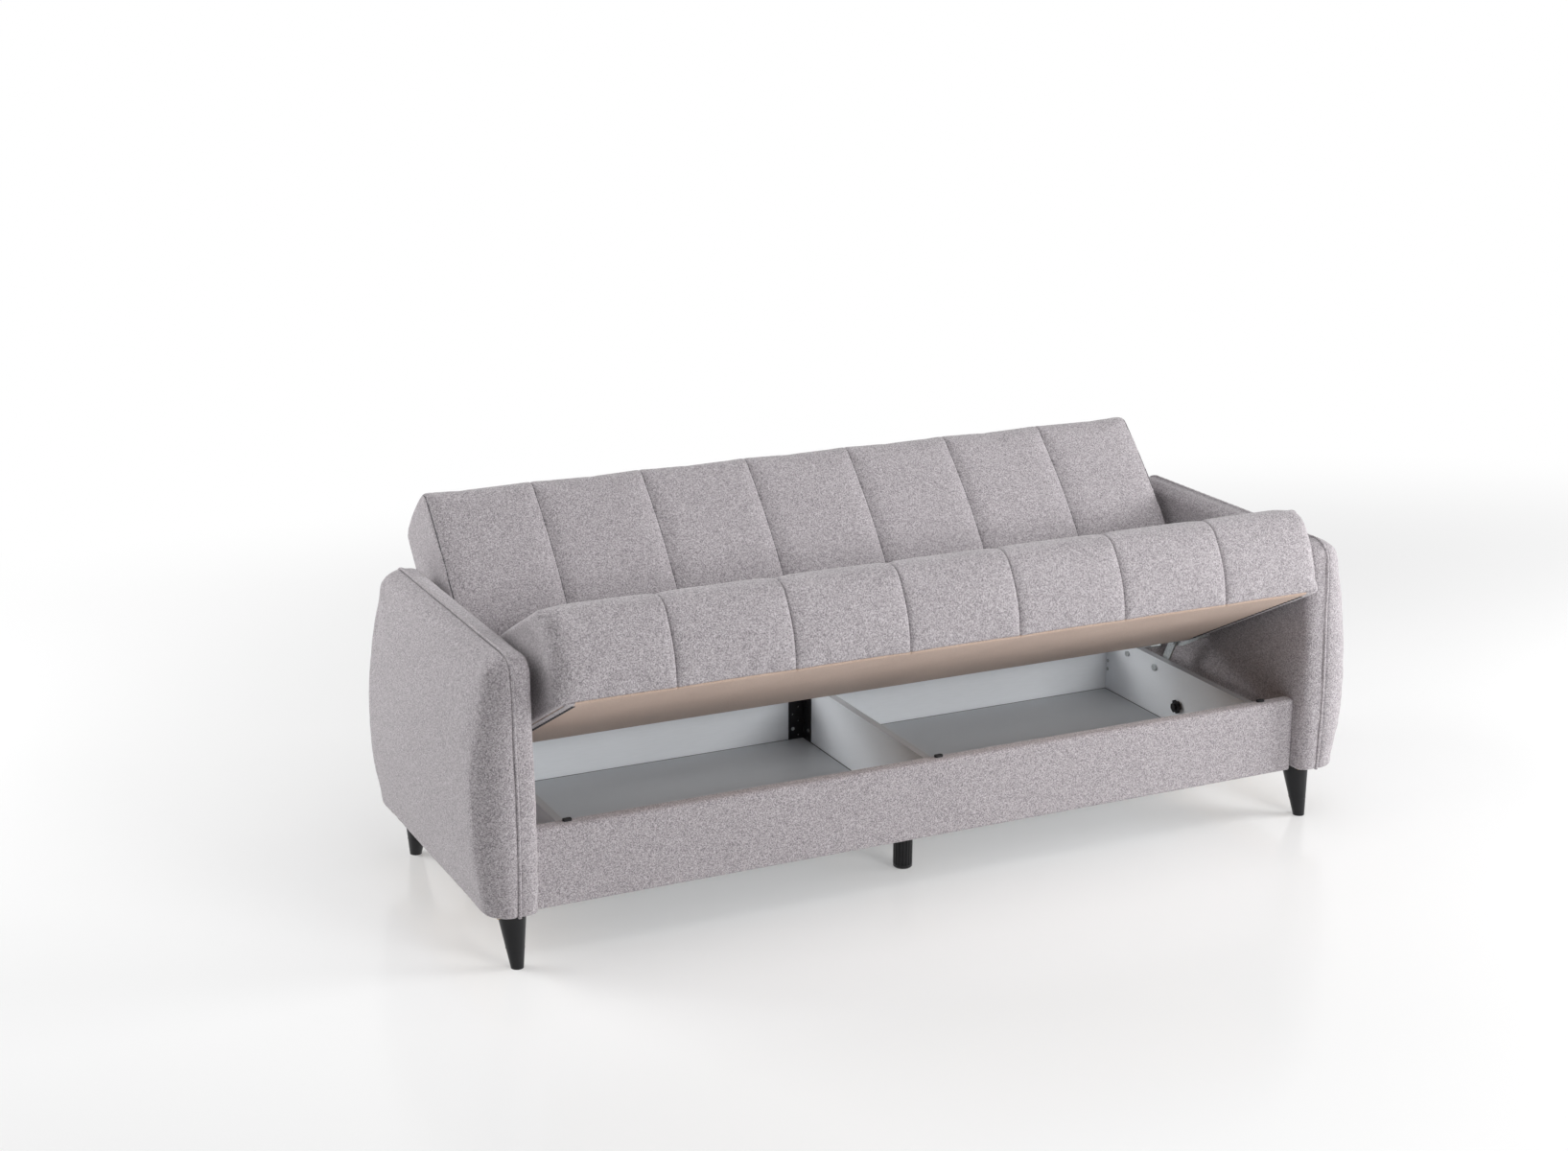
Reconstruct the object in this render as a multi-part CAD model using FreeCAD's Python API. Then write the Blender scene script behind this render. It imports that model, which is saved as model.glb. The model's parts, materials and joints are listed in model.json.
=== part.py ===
"""Sofa bed with a storage box: the seat lifts on two links and the back folds down flat.

Millimetres, +Z up, front towards -Y, width along X.
"""
import FreeCAD, Part
import math
import os

V = FreeCAD.Vector
X_AXIS = V(1, 0, 0)
ORIGIN = V(0, 0, 0)

# Overall layout. Y is counted from the front rail's front face until the last step.
inner_width = 1900.0          # between the arms' inner faces
joint_gap = 0.3               # between soft faces that lie against each other
plate_gap = 0.5               # between moving flat plates
pin_clearance = 0.05          # radial, between a pin and its hole
overcut = 1.0                 # how far a cutting shape runs past the face that it opens

# Arms
arm_bottom = 128.0
arm_top = 684.0
arm_front = -41.0             # front edge at the bottom
arm_front_bow = -46.0         # front edge at its fullest
arm_front_top = -23.0         # front edge where the top corner starts
arm_length = 771.0            # from front edge to rear edge at the bottom
arm_corner = 48.0             # radius of the outline's two top corners
arm_slab = 49.0               # thickness of the flat inner pad
arm_edge_round = 24.0         # rounding of the inner pad's free edge
arm_bulge = 84.0              # how far the outer pad swells past the seam
arm_bulge_height = 300.0
arm_shoulder = 52.0           # outer pad's width where its top rounds over
arm_skirt_width = 66.0        # outer pad's width just above its bottom edge
arm_foot_width = 59.0         # outer pad's width at its bottom face
arm_foot_round = 22.0         # height of the rounding at the bottom
arm_corner_depth = 58.0       # length of the outer pad's vertical corner rounds
arm_corner_fullness = 0.75    # share of the width reached where a corner round is steepest
arm_corner_turn = 0.2         # share of the corner's length at that place
arm_side_crown = 0.03         # the flat side's crown, as a share of the width
arm_core_thickness = 18.0
arm_core_setback = 10.0       # core board's inner face from the arm's inner face
arm_core_margin = 18.0        # board edge inside the padded outline
arm_base_thickness = 16.0     # bottom board that takes the legs
arm_base_width = 82.0
piping_radius = 2.5

# Legs and centre foot
leg_height = 125.0
leg_foot_radius = 13.8
leg_top_radius = 32.5
leg_splay = 28.0              # how far the foot stands out from the top
leg_inset = 76.0              # leg top's centre from the arm's end
leg_offset = 7.0              # leg's middle inside the arm's seam
leg_flat = 1.5                # straight band at the foot
leg_plate_radius = 28.0
stud_radius = 5.0
stud_reach = 22.0             # stud length into the leg and into the arm
foot_radius = 22.0
foot_flute_radius = 2.2
foot_flute_count = 18
foot_chamfer = 3.0
foot_x = -18.0
foot_y = 135.0
foot_plate_thickness = 3.0
foot_plate_size = 76.0

# Storage box and front rail
board = 18.0                  # laminated board thickness
box_bottom = 119.0
box_wall_top = 284.0
arm_spacer_thickness = 70.0   # between each side wall and its arm
box_rear_face = 662.0         # inner face of the rear panel
floor_thickness = 8.0
floor_top = 137.0
rail_top = 299.0
rail_pad = 9.0                # padding in front of the rail board
rail_wrap = 3.0               # cover over the rail board's top and bottom
rail_round = 8.0
buffer_length = 19.0
buffer_width = 12.0
buffer_height = 4.0
buffer_inset = 80.0           # outer buffers' middles from the arms
buffer_middle = 5.0           # middle buffer's place
angle_leg = 41.0              # perforated corner angle
angle_thickness = 2.5
angle_hole_radius = 2.2
angle_hole_pitch = 18.0
spacer_width = 44.0
spacer_bottom = 150.0
spacer_height = 80.0
spacer_places = (62.0, 335.0, 612.0)
knob_y = 335.0
knob_z = 189.0
knob_radius = 17.0
knob_hub_radius = 9.0
knob_depth = 18.0
knob_lobes = 6
knob_scallop_place = 1.15     # scallops' middles, as a share of the knob's radius
knob_scallop_size = 0.38      # scallops' radius, as a share of the knob's radius
screw_radius = 2.5
screw_head_radius = 4.5
screw_head_depth = 1.5
box_screw_heights = (191.0, 213.0)
box_screw_inset = 8.0         # from the rear panel

# Lift mechanism: base pivot, link, and the seat's own pivot in seat coordinates
base_pivot_y = 444.0
base_pivot_z = 258.0
link_length = 86.3
link_open_angle = 117.3       # degrees from +Y at rest, with the seat lifted
seat_tilt = 27.9              # degrees, how far the seat is lifted at rest
seat_pivot_behind = 33.0      # seat pivot behind the cushion
seat_pivot_w = 10.0
plate = 3.0                   # steel plate of the brackets
link_plate = 5.0
link_plate_gap = 1.0          # between the link and the plates beside it
link_radius = 12.0
link_flange = 12.0
link_flange_start = 1.5       # flange's ends from the pivots, in link radii
link_flange_end = 2.9
pin_cap_depth = 3.0
pivot_radius = 5.0
bolt_head_radius = 8.5
bolt_head_depth = 5.0
rear_bolt_y = 565.0
bolt_radius = 4.0
rear_bolt_head = 0.8          # rear bolt's head, as a share of the pivot bolt's
bracket_below = 20.0          # base bracket's edges from its pivot and its rear bolt
bracket_above = 22.0
bracket_ahead = 18.0
bracket_behind = 14.0
bracket_shelf = 48.0          # length of the shelf that carries the back's upright
upright_top_slant = 2.0

# Seat, in its own frame: u runs back and w runs up from the front bottom edge
seat_side_gap = 20.0          # between the cushion and each arm
seat_depth = 538.0
seat_thickness = 203.0
seat_crown = 10.0
channel_count = 7
end_channel_short = 8.7       # how much narrower each end channel is than the rest
seam_pinch = 10.0             # how far a sewn channel draws the padding in
end_pinch = 2.0               # the same at the cushion's ends
end_round = 14.0
seat_front_lean = 19.0        # front face ahead of its bottom edge, at the first height
seat_front_lean_at = 75.0
seat_front_full = 22.0        # front face where it stands out most
seat_front_full_at = 150.0
seat_front_shoulder = 11.0    # front face where the top edge's round is steepest
seat_front_round = 19.0
seat_front_top = 24.0         # where the top edge's round ends
seat_rear_flat = 60.0         # where the rear edge's round starts
seat_rear_rise = 4.0
seat_rear_shoulder = 17.0
seat_rear_round = 12.0
seat_rear_drop = 54.0         # where the rear edge's round ends
frame_margin = 15.0           # padding outside the wooden frame
frame_depth = 55.0
frame_rail = 20.0
webbing_thickness = 2.0
webbing_width = 50.0
webbing_count = 14
lining_thickness = 2.0
seat_bracket_length = 72.0    # flange under the cushion
seat_bracket_drop = 8.0
seat_bracket_slant = 12.0
seat_bracket_tail = 4.0       # flange's rear end from the cushion's rear face
seat_screw_front = 10.0       # screws from the flange's front end and the cushion's rear face
seat_screw_rear = 44.0
bracket_flange = 34.0

# Back, in its own frame: d runs to the rear and a runs up from the front bottom edge
back_pivot_y = 442.0
back_pivot_z = 498.0
back_pivot_d = 14.0
back_pivot_a = -42.0
back_lean = 41.0              # degrees from upright at rest
back_height = 403.0
back_thickness = 197.0
back_crown = 10.0
back_heel_depth = 95.0        # bottom face's depth in front of the bevelled heel
back_heel_height = 135.0
back_foot_front = 44.0        # where the bottom face starts
back_foot_round = 13.0
back_foot_rise = 48.0         # where the front face starts
back_top_front = 24.0         # front face's end below the top
back_top_shoulder = 5.0
back_top_round = 3.0
back_top_flat = 28.0          # where the top face starts
back_top_rise = 7.0           # top face's height at its front, middle and rear
back_top_crown = 11.0
back_top_fall = 5.0
back_rear_flat = 30.0
back_rear_shoulder = 8.0
back_rear_round = 4.0
back_rear_drop = 32.0
back_frame_front = 62.0
back_frame_rear = 190.0
back_pin_radius = 6.0
back_boss_radius = 16.0
back_plate_gap = 1.0          # bracket plate from the cushion and from the base bracket
back_rail_low = 3.0           # bottom rail below the frame's margin
back_rail_cut = 10.0          # bottom rail lower than the seat's rails
back_heel_clear = 8.0         # frame inside the bevelled heel
back_slope_clear = 12.0
back_board_heel = 26.0        # boards' heel behind the bottom rail
back_bracket_front = 26.0     # flange's front end
back_bracket_rear = 6.0       # flange's rear end from the heel
back_bracket_slant = 12.0
back_cheek_side = 20.0        # bracket's cheek beside the cushion: its rear edge's height
back_cheek_rear = 60.0        # the cheek's top edge, and where its front edge ends below
back_cheek_front = 28.0
back_cheek_top = 70.0
back_cheek_foot = 8.0
back_screw_front = 7.0
back_screw_rear = 5.0
screw_depth = 0.6             # screw's depth in its rail, as a share of the rail
back_screw_depth = 0.7

half_gap = inner_width / 2
box_wall_face = half_gap - arm_spacer_thickness - board
seat_half_width = half_gap - seat_side_gap
seat_pivot_u = seat_depth + seat_pivot_behind
channel_pitch = 2 * (seat_half_width + end_channel_short) / channel_count
leg_x = half_gap + arm_slab - leg_offset
seam_x = half_gap + arm_slab
arm_rear = arm_front + arm_length
arm_middle = arm_front + arm_length / 2
wall_outer = box_wall_face + board
floor_bottom = floor_top - floor_thickness
rail_board_front = rail_pad
rail_rear = rail_pad + board

nodes = {}


def box(x0, x1, y0, y1, z0, z1):
    return Part.makeBox(x1 - x0, y1 - y0, z1 - z0, V(x0, y0, z0))


def rod(radius, start, end):
    way = end - start
    return Part.makeCylinder(radius, way.Length, start, way)


def along_x(radius, x0, x1, y, z):
    return rod(radius, V(x0, y, z), V(x1, y, z))


def other_side(shape):
    return shape.mirror(ORIGIN, X_AXIS)


def group(shapes):
    return Part.makeCompound(shapes)


def outline(place, start, steps):
    """A closed wire. A step of one point is a line, and a step of two is an arc through the first."""
    edges = []
    here = start
    for step in steps:
        if len(step) == 1:
            edges.append(Part.LineSegment(place(*here), place(*step[0])).toShape())
        else:
            edges.append(Part.Arc(place(*here), place(*step[0]), place(*step[1])).toShape())
        here = step[-1]
    return Part.Wire(edges)


def at_x(x):
    return lambda y, z: V(x, y, z)


def polygon_plate(points, x0, x1):
    """A flat plate square to X with the given (y, z) corners."""
    wire = outline(at_x(x0), points[0], [[p] for p in points[1:]] + [[points[0]]])
    return Part.Face(wire).extrude(V(x1 - x0, 0, 0))


def strap(y0, z0, r0, y1, z1, r1, x0, x1):
    """A plate with two round ends joined by straight sides."""
    way = math.atan2(z1 - z0, y1 - y0)
    side_y = -math.sin(way)
    side_z = math.cos(way)
    corners = [
        (y0 + side_y * r0, z0 + side_z * r0),
        (y1 + side_y * r1, z1 + side_z * r1),
        (y1 - side_y * r1, z1 - side_z * r1),
        (y0 - side_y * r0, z0 - side_z * r0),
    ]
    plate_body = polygon_plate(corners, x0, x1)
    return plate_body.fuse([along_x(r0, x0, x1, y0, z0), along_x(r1, x0, x1, y1, z1)]).removeSplitter()


# Arm outline in the Y-Z plane, the same at both ends

def arm_outline(x, inset, bottom):
    """The arm's side outline at x, drawn in by inset, with a straight bottom."""
    front = arm_front + inset
    bow = arm_front_bow + inset
    front_top = arm_front_top + inset
    top = arm_top - inset
    corner = arm_corner - inset * 0.5
    corner_z = top - corner
    mid_z = (bottom + corner_z) / 2
    corner_y = front_top + corner
    slope = math.sqrt(0.5) * corner

    def back(y):
        return 2 * arm_middle - y

    steps = [
        [(bow, mid_z), (front_top, corner_z)],
        [(corner_y - slope, corner_z + slope), (corner_y, top)],
        [(back(corner_y), top)],
        [(back(corner_y - slope), corner_z + slope), (back(front_top), corner_z)],
        [(back(bow), mid_z), (back(front), bottom)],
        [(front, bottom)],
    ]
    return outline(at_x(x), (front, bottom), steps)


def arm_front_at(z):
    """Front edge of the arm's outline at the height z."""
    corner_z = arm_top - arm_corner
    if z > corner_z:
        rise = z - corner_z
        return arm_front_top + arm_corner - math.sqrt(arm_corner ** 2 - rise ** 2)
    start = V(0, arm_front, arm_bottom)
    middle = V(0, arm_front_bow, (arm_bottom + corner_z) / 2)
    end = V(0, arm_front_top, corner_z)
    circle = Part.Arc(start, middle, end).toShape().Curve
    rise = z - circle.Center.z
    return circle.Center.y - math.sqrt(circle.Radius ** 2 - rise ** 2)


def arm_width_at(z):
    """How far the outer pad stands out past the seam at the height z."""
    corner_z = arm_top - arm_corner
    skirt_z = arm_bottom + arm_foot_round
    if z > corner_z:
        share = (z - corner_z) / arm_corner
        return arm_shoulder * math.sqrt(1 - share ** 2)
    if z < skirt_z:
        share = min(1.0, (skirt_z - z) / arm_foot_round)
        return arm_skirt_width - (arm_skirt_width - arm_foot_width) * (1 - math.sqrt(1 - share ** 2))
    start = V(0, arm_skirt_width, skirt_z)
    middle = V(0, arm_bulge, arm_bulge_height)
    end = V(0, arm_shoulder, corner_z)
    circle = Part.Arc(start, middle, end).toShape().Curve
    rise = z - circle.Center.z
    return circle.Center.y + math.sqrt(circle.Radius ** 2 - rise ** 2)


def arm_plan(z):
    """The outer pad's level outline at the height z: straight along the seam, rounded outside."""
    width = arm_width_at(z)
    front = arm_front_at(z)
    depth = arm_corner_depth
    x0 = seam_x + joint_gap
    x1 = seam_x + width
    near = x0 + (x1 - x0) * arm_corner_fullness
    rear = 2 * arm_middle - front
    flat = x1 + arm_side_crown * width

    def place(x, y):
        return V(x, y, z)

    steps = [
        [(near, front + depth * arm_corner_turn), (x1, front + depth)],
        [(flat, arm_middle), (x1, rear - depth)],
        [(near, rear - depth * arm_corner_turn), (x0, rear)],
        [(x0, front)],
    ]
    return outline(place, (x0, front), steps)


def make_arms():
    skirt_z = arm_bottom + arm_foot_round
    corner_z = arm_top - arm_corner
    heights = [arm_bottom, arm_bottom + arm_foot_round / 2, skirt_z]
    heights += [skirt_z + (corner_z - skirt_z) * share for share in (0.15, 0.32, 0.5, 0.68, 0.85, 1.0)]
    heights += [corner_z + arm_corner * share for share in (0.35, 0.65, 0.86, 0.97)]
    outer = Part.makeLoft([arm_plan(z) for z in heights], True, False)

    rounds = [(0.0, 1.0), (0.12, 0.52), (0.4, 0.15), (1.0, 0.0)]
    sections = []
    for share, draw in rounds:
        x = half_gap + arm_edge_round * share
        sections.append(arm_outline(x, arm_edge_round * draw, arm_bottom))
    edge = Part.makeLoft(sections, True, False)
    body = Part.Face(arm_outline(half_gap + arm_edge_round, 0.0, arm_bottom))
    slab_rest = arm_slab - arm_edge_round
    inner = edge.fuse(body.extrude(V(slab_rest, 0, 0)))

    base_x = half_gap + arm_core_setback
    base_front = arm_front + arm_core_margin
    base_rear = arm_rear - arm_core_margin
    base_top = arm_bottom + arm_base_thickness
    base_board = box(base_x, base_x + arm_base_width, base_front, base_rear, arm_bottom, base_top)

    core_face = Part.Face(arm_outline(base_x, arm_core_margin, base_top))
    core = core_face.extrude(V(arm_core_thickness, 0, 0))

    inner = inner.cut(group([core, base_board]))
    outer = outer.cut(base_board)

    path_inset = -(piping_radius + joint_gap)
    path = arm_outline(seam_x, path_inset, arm_bottom)
    open_path = Part.Wire(path.OrderedEdges[:-1])
    start = open_path.OrderedVertexes[0].Point
    tangent = open_path.OrderedEdges[0].tangentAt(open_path.OrderedEdges[0].FirstParameter)
    ring = Part.Wire(Part.makeCircle(piping_radius, start, tangent))
    piping = open_path.makePipeShell([ring], True, False)

    for stud_y in leg_tops():
        reach = along_z_hole(leg_x, stud_y, arm_bottom - overcut, arm_bottom + stud_reach + overcut)
        base_board = base_board.cut(reach)
        inner = inner.cut(reach)
        outer = outer.cut(reach)
    stud_hole = along_x(bolt_radius + plate_gap, half_gap - overcut, base_x + arm_core_thickness + overcut,
                        knob_y, knob_z)
    inner = inner.cut(stud_hole)
    core = core.cut(stud_hole)

    for side, turn in (("right", False), ("left", True)):
        made = {
            "arm_core_board": core,
            "arm_base_board": base_board,
            "arm_inner_pad": inner,
            "arm_outer_pad": outer,
            "arm_piping": piping,
        }
        for name, shape in made.items():
            nodes[name + "_" + side] = other_side(shape) if turn else shape


def leg_tops():
    return (arm_front + leg_inset, arm_rear - leg_inset)


def along_z_hole(x, y, z0, z1):
    return rod(stud_radius + pin_clearance, V(x, y, z0), V(x, y, z1))


def make_legs():
    plates = []
    studs = []
    for end, top_y, way in (("front", leg_tops()[0], -1), ("rear", leg_tops()[1], 1)):
        foot_centre = V(leg_x, top_y + way * leg_splay, 0)
        band_centre = V(leg_x, top_y + way * leg_splay, leg_flat)
        top_centre = V(leg_x, top_y, leg_height)
        rings = []
        for centre, radius in (
            (band_centre, leg_foot_radius),
            (top_centre, leg_top_radius),
        ):
            rings.append(Part.Wire(Part.makeCircle(radius, centre, V(0, 0, 1))))
        leg = Part.makeLoft(rings, True, True)
        leg = leg.fuse(rod(leg_foot_radius, foot_centre, band_centre))
        leg = leg.cut(along_z_hole(leg_x, top_y, leg_height - stud_reach - overcut, leg_height + overcut))
        nodes["leg_" + end + "_right"] = leg
        nodes["leg_" + end + "_left"] = other_side(leg)
        washer = rod(leg_plate_radius, V(leg_x, top_y, leg_height), V(leg_x, top_y, arm_bottom))
        washer = washer.cut(along_z_hole(leg_x, top_y, leg_height - overcut, arm_bottom + overcut))
        stud_low = V(leg_x, top_y, leg_height - stud_reach)
        stud_high = V(leg_x, top_y, arm_bottom + stud_reach)
        stud = rod(stud_radius, stud_low, stud_high)
        plates += [washer, other_side(washer)]
        studs += [stud, other_side(stud)]
    nodes["leg_plates"] = group(plates)
    nodes["leg_studs"] = group(studs)


def make_centre_foot():
    height = box_bottom - foot_plate_thickness
    foot = rod(foot_radius, V(foot_x, foot_y, 0), V(foot_x, foot_y, height))
    foot = foot.makeChamfer(foot_chamfer, [foot.Edges[i] for i, e in enumerate(foot.Edges)
                                           if e.BoundBox.ZMax < foot_chamfer / 2])
    flutes = []
    for index in range(foot_flute_count):
        turn = 2 * math.pi * index / foot_flute_count
        x = foot_x + foot_radius * math.cos(turn)
        y = foot_y + foot_radius * math.sin(turn)
        flutes.append(rod(foot_flute_radius, V(x, y, foot_chamfer * 3), V(x, y, height + overcut)))
    nodes["centre_foot"] = foot.cut(flutes)
    half = foot_plate_size / 2
    nodes["centre_foot_plate"] = box(foot_x - half, foot_x + half, foot_y - half, foot_y + half,
                                     height, box_bottom)


def make_rail():
    low = box_bottom + rail_wrap
    high = rail_top - rail_wrap
    core = box(-half_gap, half_gap, rail_board_front, rail_rear, low, high)
    skin = box(-half_gap, half_gap, 0, rail_rear, box_bottom, rail_top)
    edges = [e for e in skin.Edges if e.BoundBox.YMax < 0.01 and e.BoundBox.XLength > inner_width / 2]
    skin = skin.makeFillet(rail_round, edges)
    nodes["front_rail_board"] = core
    nodes["front_rail_cover"] = skin.cut(core)
    low_y = rail_rear - buffer_width
    buffers = []
    for x in (buffer_inset - half_gap, buffer_middle, half_gap - buffer_inset):
        pad = box(x - buffer_length / 2, x + buffer_length / 2, low_y, rail_rear,
                  rail_top, rail_top + buffer_height)
        upright = [e for e in pad.Edges if e.BoundBox.ZLength > buffer_height / 2]
        buffers.append(pad.makeFillet(buffer_height, upright))
    nodes["rail_buffers"] = group(buffers)


def make_box():
    wall = box(box_wall_face, wall_outer, rail_rear, box_rear_face, box_bottom, box_wall_top)
    drilled = []
    for radius, y, z in (
        (pivot_radius, base_pivot_y, base_pivot_z),
        (bolt_radius, rear_bolt_y, base_pivot_z),
        (bolt_radius, knob_y, knob_z),
    ):
        drilled.append(along_x(radius + pin_clearance, box_wall_face - overcut, wall_outer + overcut, y, z))
    wall = wall.cut(drilled)
    nodes["box_wall_right"] = wall
    nodes["box_wall_left"] = other_side(wall)
    half = board / 2
    nodes["box_divider"] = box(-half, half, rail_rear, box_rear_face, box_bottom, box_wall_top)
    nodes["box_rear_panel"] = box(-wall_outer, wall_outer, box_rear_face, box_rear_face + board,
                                  box_bottom, box_wall_top)
    floor = box(half, box_wall_face, rail_rear, box_rear_face, floor_bottom, floor_top)
    nodes["box_floor_right"] = floor
    nodes["box_floor_left"] = other_side(floor)
    near = box(half, half + board, rail_rear, box_rear_face, box_bottom, floor_bottom)
    far = box(box_wall_face - board, box_wall_face, rail_rear, box_rear_face, box_bottom, floor_bottom)
    nodes["floor_bearers"] = group([near, far, other_side(near), other_side(far)])

    corner_x = -half
    rear_leg = box(corner_x - angle_leg, corner_x, box_rear_face - angle_thickness, box_rear_face,
                   floor_top, box_wall_top)
    side_leg = box(corner_x - angle_thickness, corner_x, box_rear_face - angle_leg, box_rear_face,
                   floor_top, box_wall_top)
    angle = rear_leg.fuse(side_leg).removeSplitter()
    holes = []
    heads = []
    shift = angle_leg / 4
    count = int((box_wall_top - floor_top) / angle_hole_pitch)
    for index in range(count):
        z = floor_top + angle_hole_pitch * (index + 0.5)
        offset = angle_leg / 2 + (shift if index % 2 else -shift / 2)
        x = corner_x - offset
        y = box_rear_face - offset
        if index == 1:
            head_y = box_rear_face - angle_thickness
            heads.append(rod(screw_head_radius, V(x, head_y - screw_head_depth, z), V(x, head_y, z)))
            head_x = corner_x - angle_thickness
            heads.append(along_x(screw_head_radius, head_x - screw_head_depth, head_x, y, z))
            continue
        start_y = box_rear_face - angle_leg / 3
        holes.append(rod(angle_hole_radius, V(x, start_y, z), V(x, box_rear_face + overcut, z)))
        holes.append(along_x(angle_hole_radius, corner_x - angle_leg / 3, corner_x + overcut, y, z))
    nodes["corner_angle"] = angle.cut(holes)
    nodes["corner_angle_bolts"] = group(heads)

    screws = []
    screw_y = box_rear_face - box_screw_inset
    for z in box_screw_heights:
        head = along_x(screw_head_radius, box_wall_face - screw_head_depth, box_wall_face, screw_y, z)
        screws += [head, other_side(head)]
    nodes["box_screws"] = group(screws)


def make_arm_fixings():
    spacers = []
    top = spacer_bottom + spacer_height
    hole = along_x(bolt_radius + plate_gap, wall_outer - overcut, half_gap + overcut, knob_y, knob_z)
    for y in spacer_places:
        spacer = box(wall_outer, half_gap, y, y + spacer_width, spacer_bottom, top).cut(hole)
        spacers += [spacer, other_side(spacer)]
    nodes["arm_spacers"] = group(spacers)

    inner_end = box_wall_face - knob_depth
    knob = along_x(knob_hub_radius, inner_end, box_wall_face, knob_y, knob_z)
    grip_x = inner_end + knob_depth / 3
    grip = along_x(knob_radius, grip_x, box_wall_face - knob_depth / 4, knob_y, knob_z)
    scallops = []
    for index in range(knob_lobes):
        turn = 2 * math.pi * (index + 0.5) / knob_lobes
        y = knob_y + knob_radius * knob_scallop_place * math.cos(turn)
        z = knob_z + knob_radius * knob_scallop_place * math.sin(turn)
        scallops.append(along_x(knob_radius * knob_scallop_size, inner_end - overcut,
                                box_wall_face + overcut, y, z))
    knob = knob.fuse(grip.cut(scallops))
    stud_end = half_gap + arm_core_setback + arm_core_thickness
    stud = along_x(bolt_radius, inner_end + knob_depth / 2, stud_end, knob_y, knob_z)
    knob = knob.cut(stud)
    nodes["arm_knobs"] = group([knob, other_side(knob)])
    nodes["arm_knob_studs"] = group([stud, other_side(stud)])


# Lift mechanism planes, counted outward from the box wall
base_plate_x = wall_outer
link_x = base_plate_x + plate + link_plate_gap
seat_plate_x = link_x + link_plate + link_plate_gap
upright_x = seat_half_width + 2 * back_plate_gap + plate
back_plate_x = seat_half_width + back_plate_gap


def seat_place(shape):
    """Put a shape from the seat's own frame where it stands with the seat lifted."""
    placed = shape.copy()
    placed.translate(V(0, -seat_pivot_u, -seat_pivot_w))
    placed.rotate(ORIGIN, X_AXIS, -seat_tilt)
    placed.translate(V(0, link_end_y, link_end_z))
    return placed


def back_place(shape):
    """Put a shape from the back's own frame where it stands at rest."""
    placed = shape.copy()
    placed.translate(V(0, -back_pivot_d, -back_pivot_a))
    placed.rotate(ORIGIN, X_AXIS, -back_lean)
    placed.translate(V(0, back_pivot_y, back_pivot_z))
    return placed


link_end_y = base_pivot_y + link_length * math.cos(math.radians(link_open_angle))
link_end_z = base_pivot_z + link_length * math.sin(math.radians(link_open_angle))


def make_base_brackets():
    pivot_hole = pivot_radius + pin_clearance
    low = base_pivot_z - bracket_below
    high = base_pivot_z + bracket_above
    front = base_pivot_y - bracket_ahead
    rear = rear_bolt_y + bracket_behind
    shelf_front = rear - bracket_shelf
    sheet = box(base_plate_x, base_plate_x + plate, front, rear, low, high)
    shelf = box(base_plate_x, upright_x + plate, shelf_front, rear, high - plate, high)
    upright = polygon_plate(
        [
            (shelf_front, high - plate),
            (rear, high - plate),
            (back_pivot_y + back_boss_radius, back_pivot_z + upright_top_slant),
            (back_pivot_y - back_boss_radius, back_pivot_z - upright_top_slant),
        ],
        upright_x, upright_x + plate)
    boss = along_x(back_boss_radius, upright_x, upright_x + plate, back_pivot_y, back_pivot_z)
    bracket = sheet.fuse([shelf, upright, boss]).removeSplitter()
    bracket = bracket.cut([
        along_x(pivot_hole, base_plate_x - overcut, base_plate_x + plate + overcut,
                base_pivot_y, base_pivot_z),
        along_x(bolt_radius + pin_clearance, base_plate_x - overcut, base_plate_x + plate + overcut,
                rear_bolt_y, base_pivot_z),
        along_x(back_pin_radius, upright_x - overcut, upright_x + plate + overcut,
                back_pivot_y, back_pivot_z),
    ])
    nodes["base_bracket_right"] = bracket
    nodes["base_bracket_left"] = other_side(bracket)

    head_x = box_wall_face - bolt_head_depth
    nut_x = link_x + link_plate + plate_gap
    pivot_bolt = along_x(pivot_radius, box_wall_face, nut_x + bolt_head_depth, base_pivot_y, base_pivot_z)
    pivot_head = along_x(bolt_head_radius, head_x, box_wall_face, base_pivot_y, base_pivot_z)
    pivot_nut = along_x(bolt_head_radius, nut_x, nut_x + bolt_head_depth, base_pivot_y, base_pivot_z)
    washer = along_x(bolt_head_radius, base_plate_x + plate, link_x - plate_gap, base_pivot_y, base_pivot_z)
    pivot_bolt = pivot_bolt.fuse([pivot_head, pivot_nut, washer]).removeSplitter()
    nodes["lift_pivot_bolts"] = group([pivot_bolt, other_side(pivot_bolt)])

    rear_nut_x = base_plate_x + plate
    rear_radius = bolt_head_radius * rear_bolt_head
    rear_bolt = along_x(bolt_radius, box_wall_face, rear_nut_x, rear_bolt_y, base_pivot_z)
    rear_head = along_x(rear_radius, head_x, box_wall_face, rear_bolt_y, base_pivot_z)
    rear_nut = along_x(rear_radius, rear_nut_x, rear_nut_x + bolt_head_depth, rear_bolt_y, base_pivot_z)
    rear_bolt = rear_bolt.fuse([rear_head, rear_nut]).removeSplitter()
    nodes["base_bracket_bolts"] = group([rear_bolt, other_side(rear_bolt)])

    pin_end = upright_x + plate
    pin = along_x(back_pin_radius, back_plate_x - plate_gap, pin_end, back_pivot_y, back_pivot_z)
    cap = along_x(back_pin_radius * 2, pin_end, pin_end + plate, back_pivot_y, back_pivot_z)
    pin = pin.fuse(cap).removeSplitter()
    nodes["back_pivot_pins"] = group([pin, other_side(pin)])


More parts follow.
